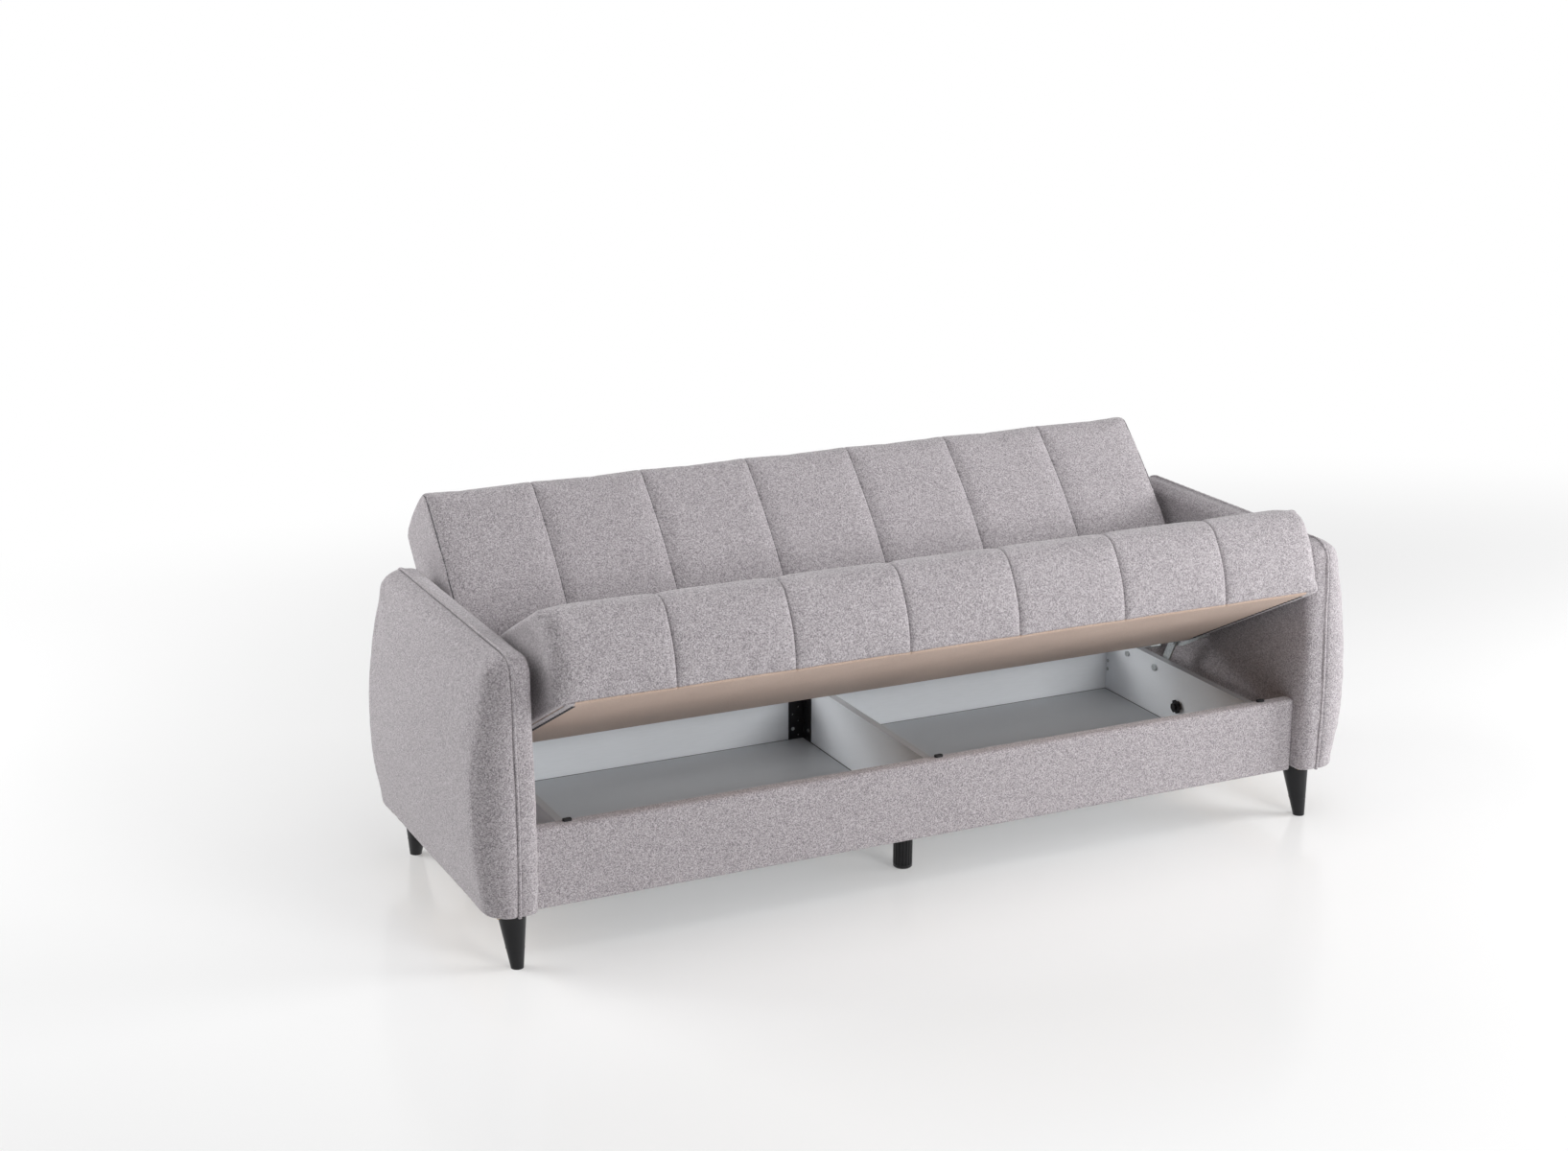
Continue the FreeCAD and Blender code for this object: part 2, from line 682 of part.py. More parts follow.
def make_links():
    hole = pivot_radius + pin_clearance
    arm = strap(base_pivot_y, base_pivot_z, link_radius, link_end_y, link_end_z, link_radius,
                link_x, link_x + link_plate)
    way = math.radians(link_open_angle)
    along = V(0, math.cos(way), math.sin(way))
    across = V(0, math.sin(way), -math.cos(way))
    base_pivot = V(0, base_pivot_y, base_pivot_z)
    flange_start = link_radius * link_flange_start
    flange_end = link_length - link_radius * link_flange_end
    corners = []
    for reach, out in (
        (flange_start, link_radius - plate),
        (flange_end, link_radius - plate),
        (flange_end, link_radius),
        (flange_start, link_radius),
    ):
        corner = base_pivot + along * reach + across * out
        corners.append((corner.y, corner.z))
    flange = polygon_plate(corners, link_x, link_x + link_flange)
    arm = arm.fuse(flange).removeSplitter()
    arm = arm.cut([
        along_x(hole, link_x - overcut, link_x + link_plate + overcut, base_pivot_y, base_pivot_z),
        along_x(pivot_radius, link_x - overcut, link_x + link_plate + overcut, link_end_y, link_end_z),
    ])
    nodes["lift_link_right"] = arm
    nodes["lift_link_left"] = other_side(arm)

    pin_end = seat_plate_x + plate + plate_gap
    pin = along_x(pivot_radius, link_x, pin_end, link_end_y, link_end_z)
    inner_cap = along_x(bolt_head_radius, link_x - pin_cap_depth, link_x, link_end_y, link_end_z)
    outer_cap = along_x(bolt_head_radius, pin_end, pin_end + pin_cap_depth, link_end_y, link_end_z)
    pin = pin.fuse([inner_cap, outer_cap]).removeSplitter()
    nodes["seat_pivot_pins"] = group([pin, other_side(pin)])


# Seat cushion, one loft per channel

def channel_edges(half_width):
    """The X places where the channels meet, from the left end to the right end."""
    inner = [channel_pitch * (index - channel_count / 2 + 1) for index in range(channel_count - 1)]
    return [-half_width] + inner + [half_width]


def seat_section(x, pinch, inset):
    """The seat's outline at x. A seam's pinch draws the front, top and rear in by less and less."""
    top = seat_thickness - pinch - inset
    front = pinch + inset
    rear = seat_depth - inset - pinch * 0.4
    foot = inset / 2
    steps = [
        [(front * 0.6 - seat_front_lean, seat_front_lean_at), (front - seat_front_full, seat_front_full_at)],
        [(front - seat_front_shoulder, top - seat_front_round), (front / 2 + seat_front_top, top)],
        [(seat_depth / 2, top + seat_crown), (rear - seat_rear_flat, top + seat_rear_rise)],
        [(rear - seat_rear_shoulder, top - seat_rear_round), (rear + overcut, top - seat_rear_drop)],
        [(rear, 0.0)],
        [(foot, 0.0)],
    ]
    return outline(at_x(x), (foot, 0.0), steps)


def back_section(x, pinch, inset):
    """The back's outline at x: bottom, front, top, rear and the bevelled heel."""
    front = pinch + inset
    top = back_height - inset - pinch * 0.35
    rear = back_thickness - inset
    heel = back_heel_depth - inset / 2
    steps = [
        [(front * 0.4 + back_foot_front, 0.0)],
        [(front + back_foot_round, back_foot_round), (front, back_foot_rise)],
        [(front - back_crown, top / 2), (front - overcut, top - back_top_front)],
        [(front + back_top_shoulder, top - back_top_round), (front / 2 + back_top_flat, top + back_top_rise)],
        [(back_thickness / 2, top + back_top_crown), (rear - back_rear_flat, top + back_top_fall)],
        [(rear - back_rear_shoulder, top - back_rear_round), (rear, top - back_rear_drop)],
        [(rear, back_heel_height)],
        [(heel, 0.0)],
    ]
    return outline(at_x(x), (heel, 0.0), steps)


def channelled(section, half_width):
    """One padded body: a swelling loft per channel, sewn in between, with rounded ends."""
    edges = channel_edges(half_width)
    body = None
    for index in range(channel_count):
        left, right = edges[index], edges[index + 1]
        round_left = index == 0
        round_right = index == channel_count - 1
        start = left + 2 * end_round if round_left else left
        end = right - 2 * end_round if round_right else right
        wires = [
            section(start, end_pinch if round_left else seam_pinch, 0.0),
            section((start + end) / 2, 0.0, 0.0),
            section(end, end_pinch if round_right else seam_pinch, 0.0),
        ]
        piece = Part.makeLoft(wires, True, False)
        for wanted, edge, way in ((round_left, left, 1), (round_right, right, -1)):
            if wanted:
                wires = [
                    section(edge + way * 2 * end_round, end_pinch, 0.0),
                    section(edge + way * end_round * 0.8, end_pinch, end_round * 0.18),
                    section(edge, end_pinch, end_round),
                ]
                piece = piece.fuse(Part.makeLoft(wires, True, False))
        body = piece if body is None else body.fuse(piece)
    return body


def make_seat():
    cushion = channelled(seat_section, seat_half_width)
    frame_half = seat_half_width - frame_margin
    u0 = frame_margin
    u1 = seat_depth - frame_margin
    w1 = lining_thickness + frame_depth
    cavity_top = w1 + webbing_thickness
    cushion = cushion.cut(box(-frame_half, frame_half, u0, u1, -overcut, cavity_top))
    nodes["seat_cushion"] = seat_place(cushion)
    lining = box(-frame_half, frame_half, u0, u1, 0, lining_thickness)
    w0 = lining_thickness
    front = box(-frame_half, frame_half, u0, u0 + frame_rail, w0, w1)
    rear = box(-frame_half, frame_half, u1 - frame_rail, u1, w0, w1)
    nodes["seat_long_rails"] = seat_place(group([front, rear]))
    inner0 = u0 + frame_rail
    inner1 = u1 - frame_rail
    end = box(frame_half - frame_rail, frame_half, inner0, inner1, w0, w1)
    nodes["seat_end_rails"] = seat_place(group([end, other_side(end)]))
    cross = []
    for x in (-frame_half / 2, 0.0, frame_half / 2):
        cross.append(box(x - frame_rail / 2, x + frame_rail / 2, inner0, inner1, w0, w1))
    nodes["seat_cross_rails"] = seat_place(group(cross))
    straps = []
    step = 2 * frame_half / webbing_count
    for index in range(webbing_count):
        x = -frame_half + step * (index + 0.5)
        straps.append(box(x - webbing_width / 2, x + webbing_width / 2, u0, u1, w1, cavity_top))
    nodes["seat_webbing"] = seat_place(group(straps))

    plate_front = seat_depth - seat_bracket_length
    sheet = polygon_plate(
        [
            (plate_front, 0.0),
            (plate_front, -seat_bracket_drop * 0.6),
            (plate_front + seat_bracket_slant, -seat_bracket_drop),
            (seat_pivot_u - 2 * link_radius, -seat_bracket_drop),
            (seat_pivot_u, seat_pivot_w - link_radius),
            (seat_pivot_u + link_radius, seat_pivot_w),
            (seat_pivot_u - link_radius, seat_pivot_w),
            (seat_depth + seat_bracket_slant, 0.0),
        ],
        seat_plate_x, seat_plate_x + plate)
    boss = along_x(link_radius, seat_plate_x, seat_plate_x + plate, seat_pivot_u, seat_pivot_w)
    flange = box(seat_plate_x, seat_plate_x + bracket_flange, plate_front,
                 seat_depth - seat_bracket_tail, -plate, 0.0)
    bracket = sheet.fuse([boss, flange]).removeSplitter()
    bracket = bracket.cut(along_x(pivot_radius + pin_clearance, seat_plate_x - overcut,
                                  seat_plate_x + plate + overcut, seat_pivot_u, seat_pivot_w))
    screws = []
    for u in (plate_front + seat_screw_front, seat_depth - seat_screw_rear):
        x = frame_half - frame_rail / 2
        hole = rod(screw_radius + plate_gap, V(x, u, -plate - overcut), V(x, u, lining_thickness))
        bracket = bracket.cut(hole)
        lining = lining.cut([hole, other_side(hole)])
        shank = rod(screw_radius, V(x, u, -plate), V(x, u, frame_depth * screw_depth))
        head = rod(screw_head_radius, V(x, u, -plate - screw_head_depth), V(x, u, -plate))
        screw = seat_place(shank.fuse(head))
        screws += [screw, other_side(screw)]
    nodes["seat_bracket_screws"] = group(screws)
    nodes["seat_lining"] = seat_place(lining)
    bracket = seat_place(bracket)
    nodes["seat_bracket_right"] = bracket
    nodes["seat_bracket_left"] = other_side(bracket)


def make_back():
    cushion = channelled(back_section, seat_half_width)
    frame_half = seat_half_width - frame_margin
    d0 = back_frame_front
    d1 = back_frame_rear
    low = frame_margin - back_rail_low
    heel_d = back_heel_depth - back_heel_clear
    top = back_height - frame_margin
    slope_top = back_heel_height + back_slope_clear
    rail_top_a = low + frame_depth - back_rail_cut
    hollow = polygon_plate(
        [
            (d0, low), (d0, top), (back_thickness + overcut, top), (back_thickness + overcut, slope_top),
            (d1, slope_top), (heel_d, low),
        ],
        -frame_half, frame_half)
    cushion = cushion.cut(hollow)
    nodes["back_rear_cover"] = back_place(
        box(-frame_half, frame_half, d1, d1 + lining_thickness, slope_top, top))
    web = d0 + webbing_thickness
    bottom_rail = box(-frame_half, frame_half, web, heel_d, low, rail_top_a)
    top_rail = box(-frame_half, frame_half, web, d1, top - frame_rail, top)
    nodes["back_long_rails"] = back_place(group([bottom_rail, top_rail]))
    boards = []
    for x in (-frame_half + board / 2, -frame_half / 3, frame_half / 3, frame_half - board / 2):
        shape = polygon_plate(
            [
                (web, rail_top_a), (web, top - frame_rail), (d1, top - frame_rail),
                (d1, slope_top), (heel_d + back_board_heel, rail_top_a),
            ],
            x - board / 2, x + board / 2)
        boards.append(shape)
    nodes["back_boards"] = back_place(group(boards))
    straps = []
    step = 2 * frame_half / webbing_count
    for index in range(webbing_count):
        x = -frame_half + step * (index + 0.5)
        straps.append(box(x - webbing_width / 2, x + webbing_width / 2, d0, web, low, top))
    nodes["back_webbing"] = back_place(group(straps))

    flange_rear = back_heel_depth - back_bracket_rear
    sheet = polygon_plate(
        [
            (back_pivot_d - back_boss_radius, back_pivot_a),
            (back_pivot_d + back_boss_radius, back_pivot_a),
            (flange_rear, 0.0),
            (flange_rear, back_cheek_side),
            (back_cheek_rear, back_cheek_top),
            (back_cheek_front, back_cheek_top),
            (back_cheek_foot, back_bracket_slant),
        ],
        back_plate_x, back_plate_x + plate)
    boss = along_x(back_boss_radius, back_plate_x, back_plate_x + plate, back_pivot_d, back_pivot_a)
    flange = box(back_plate_x - bracket_flange, back_plate_x + plate, back_bracket_front, flange_rear,
                 -plate, 0.0)
    bracket = sheet.fuse([boss, flange]).removeSplitter()
    bracket = bracket.cut(along_x(back_pin_radius + pin_clearance, back_plate_x - overcut,
                                  back_plate_x + plate + overcut, back_pivot_d, back_pivot_a))
    screws = []
    for d in (web + back_screw_front, heel_d - back_screw_rear):
        x = frame_half - frame_rail / 2
        hole = rod(screw_radius + plate_gap, V(x, d, -plate - overcut), V(x, d, low))
        bracket = bracket.cut(hole)
        cushion = cushion.cut([hole, other_side(hole)])
        shank = rod(screw_radius, V(x, d, -plate), V(x, d, frame_depth * back_screw_depth))
        head = rod(screw_head_radius, V(x, d, -plate - screw_head_depth), V(x, d, -plate))
        screw = back_place(shank.fuse(head))
        screws += [screw, other_side(screw)]
    nodes["back_bracket_screws"] = group(screws)
    nodes["back_cushion"] = back_place(cushion)
    bracket = back_place(bracket)
    nodes["back_bracket_right"] = bracket
    nodes["back_bracket_left"] = other_side(bracket)


make_rail()
make_box()
make_arm_fixings()
make_arms()
make_legs()
make_centre_foot()
make_base_brackets()
make_links()
make_seat()
make_back()

# The origin is on the floor, under the middle of the whole sofa bed.
overall = group(list(nodes.values())).optimalBoundingBox()
middle_y = (overall.YMin + overall.YMax) / 2
print("size", overall.XLength, overall.YLength, overall.ZLength, "middle", middle_y, "low", overall.ZMin)

os.makedirs("parts", exist_ok=True)
for name, shape in nodes.items():
    placed = shape.copy()
    placed.translate(V(0, -middle_y, 0))
    placed.exportStep("parts/" + name + ".step")
    print(name, len(placed.Solids), round(placed.Volume / 1000, 1), placed.isValid())
print(len(nodes), "nodes")
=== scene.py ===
# %% [markdown]
# This lesson dresses a three-seat sofa bed, shown with its seat lifted off the storage box.
# The hard parts, such as the box, brackets, links and legs, come ready made from the frame, and
# only get their finishes here. The padded parts are modelled in this file, because foam under
# woven cloth has a shape that a drawing of flat boards can't give.

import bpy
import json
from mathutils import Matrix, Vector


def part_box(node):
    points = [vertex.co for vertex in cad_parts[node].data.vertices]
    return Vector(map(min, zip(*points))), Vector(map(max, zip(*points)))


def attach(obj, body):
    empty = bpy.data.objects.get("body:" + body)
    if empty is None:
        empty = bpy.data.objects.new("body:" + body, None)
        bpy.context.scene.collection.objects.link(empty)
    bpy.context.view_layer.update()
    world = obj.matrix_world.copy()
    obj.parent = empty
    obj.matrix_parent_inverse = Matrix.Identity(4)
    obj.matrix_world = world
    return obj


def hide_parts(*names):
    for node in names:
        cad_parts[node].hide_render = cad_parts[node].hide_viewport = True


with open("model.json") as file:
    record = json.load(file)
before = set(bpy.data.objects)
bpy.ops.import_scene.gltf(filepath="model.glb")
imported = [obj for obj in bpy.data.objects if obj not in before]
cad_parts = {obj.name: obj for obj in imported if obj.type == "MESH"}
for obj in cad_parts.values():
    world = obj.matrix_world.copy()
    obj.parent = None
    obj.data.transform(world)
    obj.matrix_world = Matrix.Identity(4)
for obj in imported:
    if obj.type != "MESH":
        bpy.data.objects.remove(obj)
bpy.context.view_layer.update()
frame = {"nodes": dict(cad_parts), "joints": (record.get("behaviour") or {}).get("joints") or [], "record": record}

# %% [markdown]
# Every length below is in metres. A few driving sizes are named once: how far the seat is lifted
# and the back leans, where each hinge lies in its cushion's own upright drawing, and the spacing
# of the channels, of which the two at the ends are a little narrower. The hinges' places on the
# sofa are read from the frame.

# %% Driving sizes
import cmath
import json
import math

import bpy
import numpy as np
from mathutils import Matrix, Vector

MM = 0.001
HALF_BED = 0.950
SEAT_TILT = math.radians(27.9)
SEAT_HINGE = Vector((0, 571 * MM, 10 * MM))
BACK_LEAN = math.radians(41.0)
BACK_HINGE = Vector((0, 14 * MM, -42 * MM))
CUSHION_HALF = 0.930
CHANNELS = 7
END_CHANNEL_LESS = 8.7 * MM
PITCH = 2 * (CUSHION_HALF + END_CHANNEL_LESS) / CHANNELS

hinges = {joint["name"]: Vector(joint["pos_m"]) for joint in frame["joints"]}


def standing(hinge, own_point, angle):
    """The matrix that puts a part's own upright drawing where it stands at rest."""
    turned = Matrix.Rotation(-angle, 4, "X")
    return Matrix.Translation(hinges[hinge]) @ turned @ Matrix.Translation(-own_point)


seat_place = standing("seat_lift", SEAT_HINGE, SEAT_TILT)
back_place = standing("back_recline", BACK_HINGE, BACK_LEAN)
seams = [PITCH * (index - CHANNELS / 2 + 1) for index in range(CHANNELS - 1)]
print("seams at", [round(x, 4) for x in seams])

# %% [markdown]
# The camera stands to the left of the sofa and a little above it. Its place was worked out once
# from the lines in the photograph, so the picture can be compared with it point for point. A
# constraint could aim the camera too, but fixed angles keep the two views the same.

# %% Camera
IMAGE_WIDTH = 1635
FOCAL_PIXELS = 2610.1
SENSOR_WIDTH = 36
CAMERA_PLACE = (-2.5725, -4.8715, 2.2264)
CAMERA_YAW = math.radians(25.956)
CAMERA_PITCH = math.radians(16.263)
CAMERA_ROLL = math.radians(0.198)

view = bpy.data.cameras.new("view")
view.sensor_width = SENSOR_WIDTH
view.lens = FOCAL_PIXELS * SENSOR_WIDTH / IMAGE_WIDTH
view.clip_end = 60
camera = bpy.data.objects.new("camera", view)
bpy.context.scene.collection.objects.link(camera)
camera.matrix_world = (
    Matrix.Translation(CAMERA_PLACE)
    @ Matrix.Rotation(-CAMERA_YAW, 4, "Z")
    @ Matrix.Rotation(math.pi / 2 - CAMERA_PITCH, 4, "X")
    @ Matrix.Rotation(CAMERA_ROLL, 4, "Z")
)
bpy.context.scene.camera = camera
bpy.context.scene.view_settings.view_transform = "Standard"
print("lens", round(view.lens, 2), "mm")

# %% [markdown]
# Finishes are node trees. Two small tools keep them readable. The first is a Socket, which is one
# output of a node. Math nodes could be added one by one, but then a formula takes ten lines. With
# a Socket, plain arithmetic adds them, so a formula is read as a formula.

# %% Socket tool
class Socket:
    """A node's output. Arithmetic with it adds Math nodes."""

    def __init__(self, finish, output):
        self.finish = finish
        self.output = output

    def math(self, operation, *values):
        return self.finish.node("Math", {"operation": operation}, dict(enumerate(values)))

    def __add__(self, other):
        return self.math("ADD", self, other)

    def __sub__(self, other):
        return self.math("SUBTRACT", self, other)

    def __rsub__(self, other):
        return self.math("SUBTRACT", other, self)

    def __mul__(self, other):
        return self.math("MULTIPLY", self, other)

    __radd__ = __add__
    __rmul__ = __mul__


print("arithmetic adds Math nodes")

# %% [markdown]
# The second tool is a Finish, which makes a material. Its one method, node, adds any other node:
# its settings go in first, then the values or links of its sockets. The methods after it are
# short names for the nodes that come back in nearly every finish.

# %% Finish tool
class Finish:
    """One material. node() adds a node and gives one of its outputs as a Socket."""

    def __init__(self, name, owner=None):
        self.material = owner or bpy.data.materials.new(name)
        self.material.use_nodes = True
        self.tree = self.material.node_tree
        self.tree.nodes.clear()

    def node(self, kind, settings=None, inputs=None, output=0):
        made = self.tree.nodes.new("ShaderNode" + kind)
        for name, value in (settings or {}).items():
            if name == "stops":
                ramp = made.color_ramp
                while len(ramp.elements) < len(value):
                    ramp.elements.new(0.5)
                for element, (place, colour) in zip(ramp.elements, value):
                    element.position = place
                    element.color = (*colour, 1)
            else:
                setattr(made, name, value)
        for name, value in (inputs or {}).items():
            socket = made.inputs[name]
            if isinstance(value, Socket):
                self.tree.links.new(value.output, socket)
            elif socket.type == "RGBA":
                socket.default_value = (*value, 1)
            else:
                socket.default_value = value
        return None if output is None else Socket(self, made.outputs[output])

    def shade(self, **inputs):
        """Ends the tree in a Principled shader. Names are the socket's, with _ for a space."""
        named = {name.replace("_", " "): value for name, value in inputs.items()}
        self.end(self.node("BsdfPrincipled", {}, named))
        return self.material

    def end(self, shader):
        self.node("OutputMaterial", {}, {"Surface": shader}, None)

    def place(self, kind="Object"):
        return self.node("TexCoord", {}, {}, kind)

    def axis(self, vector, letter):
        return self.node("SeparateXYZ", {}, {0: vector}, letter)

    def scaled(self, vector, factor):
        return self.node("VectorMath", {"operation": "MULTIPLY"}, {0: vector, 1: factor})

    def noise(self, vector, scale, detail=2.0, roughness=0.5):
        wanted = {"Vector": vector, "Scale": scale, "Detail": detail, "Roughness": roughness}
        return self.node("TexNoise", {}, wanted, "Fac")

    def ramp(self, value, *stops):
        return self.node("ValToRGB", {"stops": stops}, {"Fac": value})

    def mix(self, factor, first, second, how="MIX"):
        settings = {"data_type": "RGBA", "blend_type": how}
        return self.node("Mix", settings, {0: factor, 6: first, 7: second}, 2)

    def bump(self, height, strength, distance):
        wanted = {"Strength": strength, "Distance": distance, "Height": height}
        return self.node("Bump", {}, wanted, "Normal")


print("shader tools ready")

# %% [markdown]
# All the cloth here is a plain weave. Each crossing of two yarns is one cell: in every second cell
# the warp lies on top, in the others the weft. The yarn on top is round, and sinks a little
# towards both ends of its crossing. A weave that follows the surface needs the piece's own map,
# which is in metres. A part of the frame has no map, so there the weave runs straight through it.
# A picture of cloth could be laid on instead, but a formula stays sharp at any distance.

# %% Plain weave
YARN_END_HEIGHT = 0.55


def weave_place(finish, solid, from_map):
    """Where the weave lies: on the piece's own map, or straight through the part."""
    return finish.node("UVMap", {"uv_map": "cloth"}, {}, "UV") if from_map else solid


def woven(finish, pitch, vector):
    """Height of a plain weave, and a random tone for each of its crossings."""
    cells = finish.node("VectorMath", {"operation": "SCALE"}, {0: vector, "Scale": 1 / pitch})
    whole = finish.node("VectorMath", {"operation": "FLOOR"}, {0: cells})
    part = finish.node("VectorMath", {"operation": "FRACTION"}, {0: cells})
    tone = finish.node("TexWhiteNoise", {"noise_dimensions": "2D"}, {"Vector": whole}, "Value")
    across, along = finish.axis(part, "X"), finish.axis(part, "Y")
    column, row = finish.axis(whole, "X"), finish.axis(whole, "Y")
    weft_over = column.math("PINGPONG", column + row, 1.0)
    warp = across.math("SINE", across * math.pi)
    weft = along.math("SINE", along * math.pi)
    warp_top = warp * (YARN_END_HEIGHT + (1 - YARN_END_HEIGHT) * weft)
    weft_top = weft * (YARN_END_HEIGHT + (1 - YARN_END_HEIGHT) * warp)
    return warp_top * (1 - weft_over) + weft_top * weft_over, tone


print("a yarn keeps", YARN_END_HEIGHT, "of its height at the ends of a crossing")

# %% [markdown]
# The upholstery's yarns are thick and thin, in greys, mauve and a little beige. One colour ramp
# gives each crossing its own tone. Over it lie three kinds of noise, because the eye sees cloth
# at three distances: slubs along the yarn, a fine mottle, and the cloudy look of the whole. The
# hollows between the yarns are darkened, which is painted shade.

# %% Upholstery cloth
YARN = 1.9 * MM
SLUB_SHARE = 0.28
CLOUD_TINT = (0.86, 0.84, 0.86)
YARN_HOLLOW_SHADE = (0.24, 0.22, 0.235)
YARN_COLOURS = (
    (0.00, (0.120, 0.108, 0.116)),
    (0.30, (0.350, 0.326, 0.341)),
    (0.55, (0.490, 0.452, 0.468)),
    (0.75, (0.590, 0.556, 0.578)),
    (1.00, (0.840, 0.816, 0.830)),
)


def upholstery(name, from_map=True):
    finish = Finish(name)
    solid = finish.place()
    flat = weave_place(finish, solid, from_map)
    height, tone = woven(finish, YARN, flat)
    along_yarn = finish.scaled(flat, (1.0, 0.25, 1.0))
    slub = finish.noise(along_yarn, scale=420.0, detail=3.0, roughness=0.7)
    cloud = finish.noise(solid, scale=9.0, detail=4.0, roughness=0.6)
    mottle = finish.noise(solid, scale=340.0, roughness=0.6)
    yarn = finish.ramp(tone * (1 - SLUB_SHARE) + slub * SLUB_SHARE, *YARN_COLOURS)
    tinted = finish.mix(cloud * 0.5, yarn, CLOUD_TINT, "MULTIPLY")
    speckled = finish.mix(1.0, tinted, 0.70 + 0.60 * mottle, "MULTIPLY")
    # Painted shade: the hollows between the yarns, where the weave lies low, are darkened.
    colour = finish.mix((1 - height) * 0.42, speckled, YARN_HOLLOW_SHADE)
    bump = finish.bump(height + 0.35 * mottle, 0.5, 0.45 * MM)
    return finish.shade(
        Base_Color=colour, Roughness=0.86, Normal=bump,
        Sheen_Weight=0.25, Sheen_Roughness=0.45, Specular_IOR_Level=0.2,
    )


cloth = upholstery("grey_mauve_upholstery")
plain_cloth = upholstery("grey_mauve_upholstery_small", False)
print("cloth yarn", YARN / MM, "mm")

# %% [markdown]
# Under the seat and behind the back a smooth brown-beige lining is stretched. Its thread is finer
# and its tones are closer, so it needs no mottle.

# %% Lining cloth
LINING_YARN = 1.1 * MM
LINING_HOLLOW_SHADE = (0.25, 0.18, 0.145)
LINING_COLOURS = (
    (0.15, (0.418, 0.294, 0.231)),
    (0.50, (0.548, 0.402, 0.324)),
    (0.90, (0.668, 0.512, 0.421)),
)


def lining_cloth(name, from_map=True):
    finish = Finish(name)
    solid = finish.place()
    height, tone = woven(finish, LINING_YARN, weave_place(finish, solid, from_map))
    cloud = finish.noise(solid, scale=6.0, detail=3.0, roughness=0.55)
    yarn = finish.ramp(tone * 0.5 + cloud * 0.5, *LINING_COLOURS)
    # Painted shade: the hollows between the lining's yarns are darkened.
    colour = finish.mix((1 - height) * 0.3, yarn, LINING_HOLLOW_SHADE)
    bump = finish.bump(height, 0.35, 0.25 * MM)
    return finish.shade(
        Base_Color=colour, Roughness=0.7, Normal=bump, Sheen_Weight=0.15, Sheen_Roughness=0.5,
    )


lining = lining_cloth("brown_lining")
print("lining yarn", LINING_YARN / MM, "mm")

# %% [markdown]
# The storage box is laminated board, white and a little uneven in gloss, with a grey band on
# the boards' top faces. The floor boards are darker, as painted shade from the lifted seat,
# and carry a dark line along the edges where they meet the walls, the painted shade of a gap.
# Both kinds are one finish with a different tone. The band and the dark line could be thin
# pieces, but as colours that are found by place, from the frame's sizes, they leave no gaps.

# %% Laminated board
BAND_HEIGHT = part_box("box_wall_right")[1].z - 0.3 * MM
FLOOR_LOW, FLOOR_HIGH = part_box("box_floor_right")
GAP_SHADE_WIDTH = 3.5 * MM
LAMINATE_TINT = (0.93, 0.965, 1.0)
BAND_COLOUR = (0.40, 0.41, 0.425)
GAP_SHADE_COLOUR = (0.03, 0.03, 0.032)


def gap_shade_line(finish, solid):
    """1 on the painted shade of a gap along the rear and side edges of a floor board, else 0."""
    across = finish.axis(solid, "X")
    side = across.math("ABSOLUTE", across)
    nearest = side.math("MINIMUM", side - FLOOR_LOW.x, FLOOR_HIGH.x - side)
    nearest = nearest.math("MINIMUM", nearest, FLOOR_HIGH.y - finish.axis(solid, "Y"))
    return nearest.math("LESS_THAN", nearest, GAP_SHADE_WIDTH)


def laminate(name, light, gap_shaded=False):
    """Board with a grey band on its upper edge. light is its tone, from 0 to 1."""
    finish = Finish(name)
    solid = finish.place()
    height = finish.axis(solid, "Z")
    band = height.math("GREATER_THAN", height, BAND_HEIGHT)
    long_grain = finish.scaled(solid, (3.0, 40.0, 40.0))
    grain = finish.noise(long_grain, scale=9.0, detail=4.0, roughness=0.6)
    fine = finish.noise(solid, scale=900.0)
    bright = tuple(light * part for part in LAMINATE_TINT)
    dull = tuple(0.94 * part for part in bright)
    board = finish.ramp(grain, (0.2, dull), (0.8, bright))
    colour = finish.mix(band, board, BAND_COLOUR)
    # The dark line on a floor board is painted shade of the gap where it meets the walls.
    if gap_shaded:
        colour = finish.mix(gap_shade_line(finish, solid), colour, GAP_SHADE_COLOUR)
    bump = finish.bump(fine + 0.4 * grain, 0.12, 0.1 * MM)
    gloss = 0.32 + 0.14 * grain
    return finish.shade(Base_Color=colour, Roughness=gloss, Normal=bump, Specular_IOR_Level=0.4)


white_board = laminate("white_laminate", light=0.95)
# The floor boards are darker than the walls as painted shade under the lifted seat.
shaded_floor_board = laminate("floor_laminate_painted_shade", light=0.52, gap_shaded=True)
print("band above", round(BAND_HEIGHT, 4), "m, joint", GAP_SHADE_WIDTH / MM, "mm wide")

# %% [markdown]
# Inside, the frames are raw wood, seen where the cloth ends. The long boards all run along X, so
# noise that is stretched that way gives their rings, and a finer one their pores. A Wave texture
# draws rings as well, but they come back at even distances, which wood never does.

# %% Raw wood
WOOD_COLOURS = (
    (0.28, (0.36, 0.22, 0.115)),
    (0.50, (0.56, 0.39, 0.235)),
    (0.72, (0.66, 0.50, 0.33)),
)
PORE_COLOUR = (0.30, 0.19, 0.11)


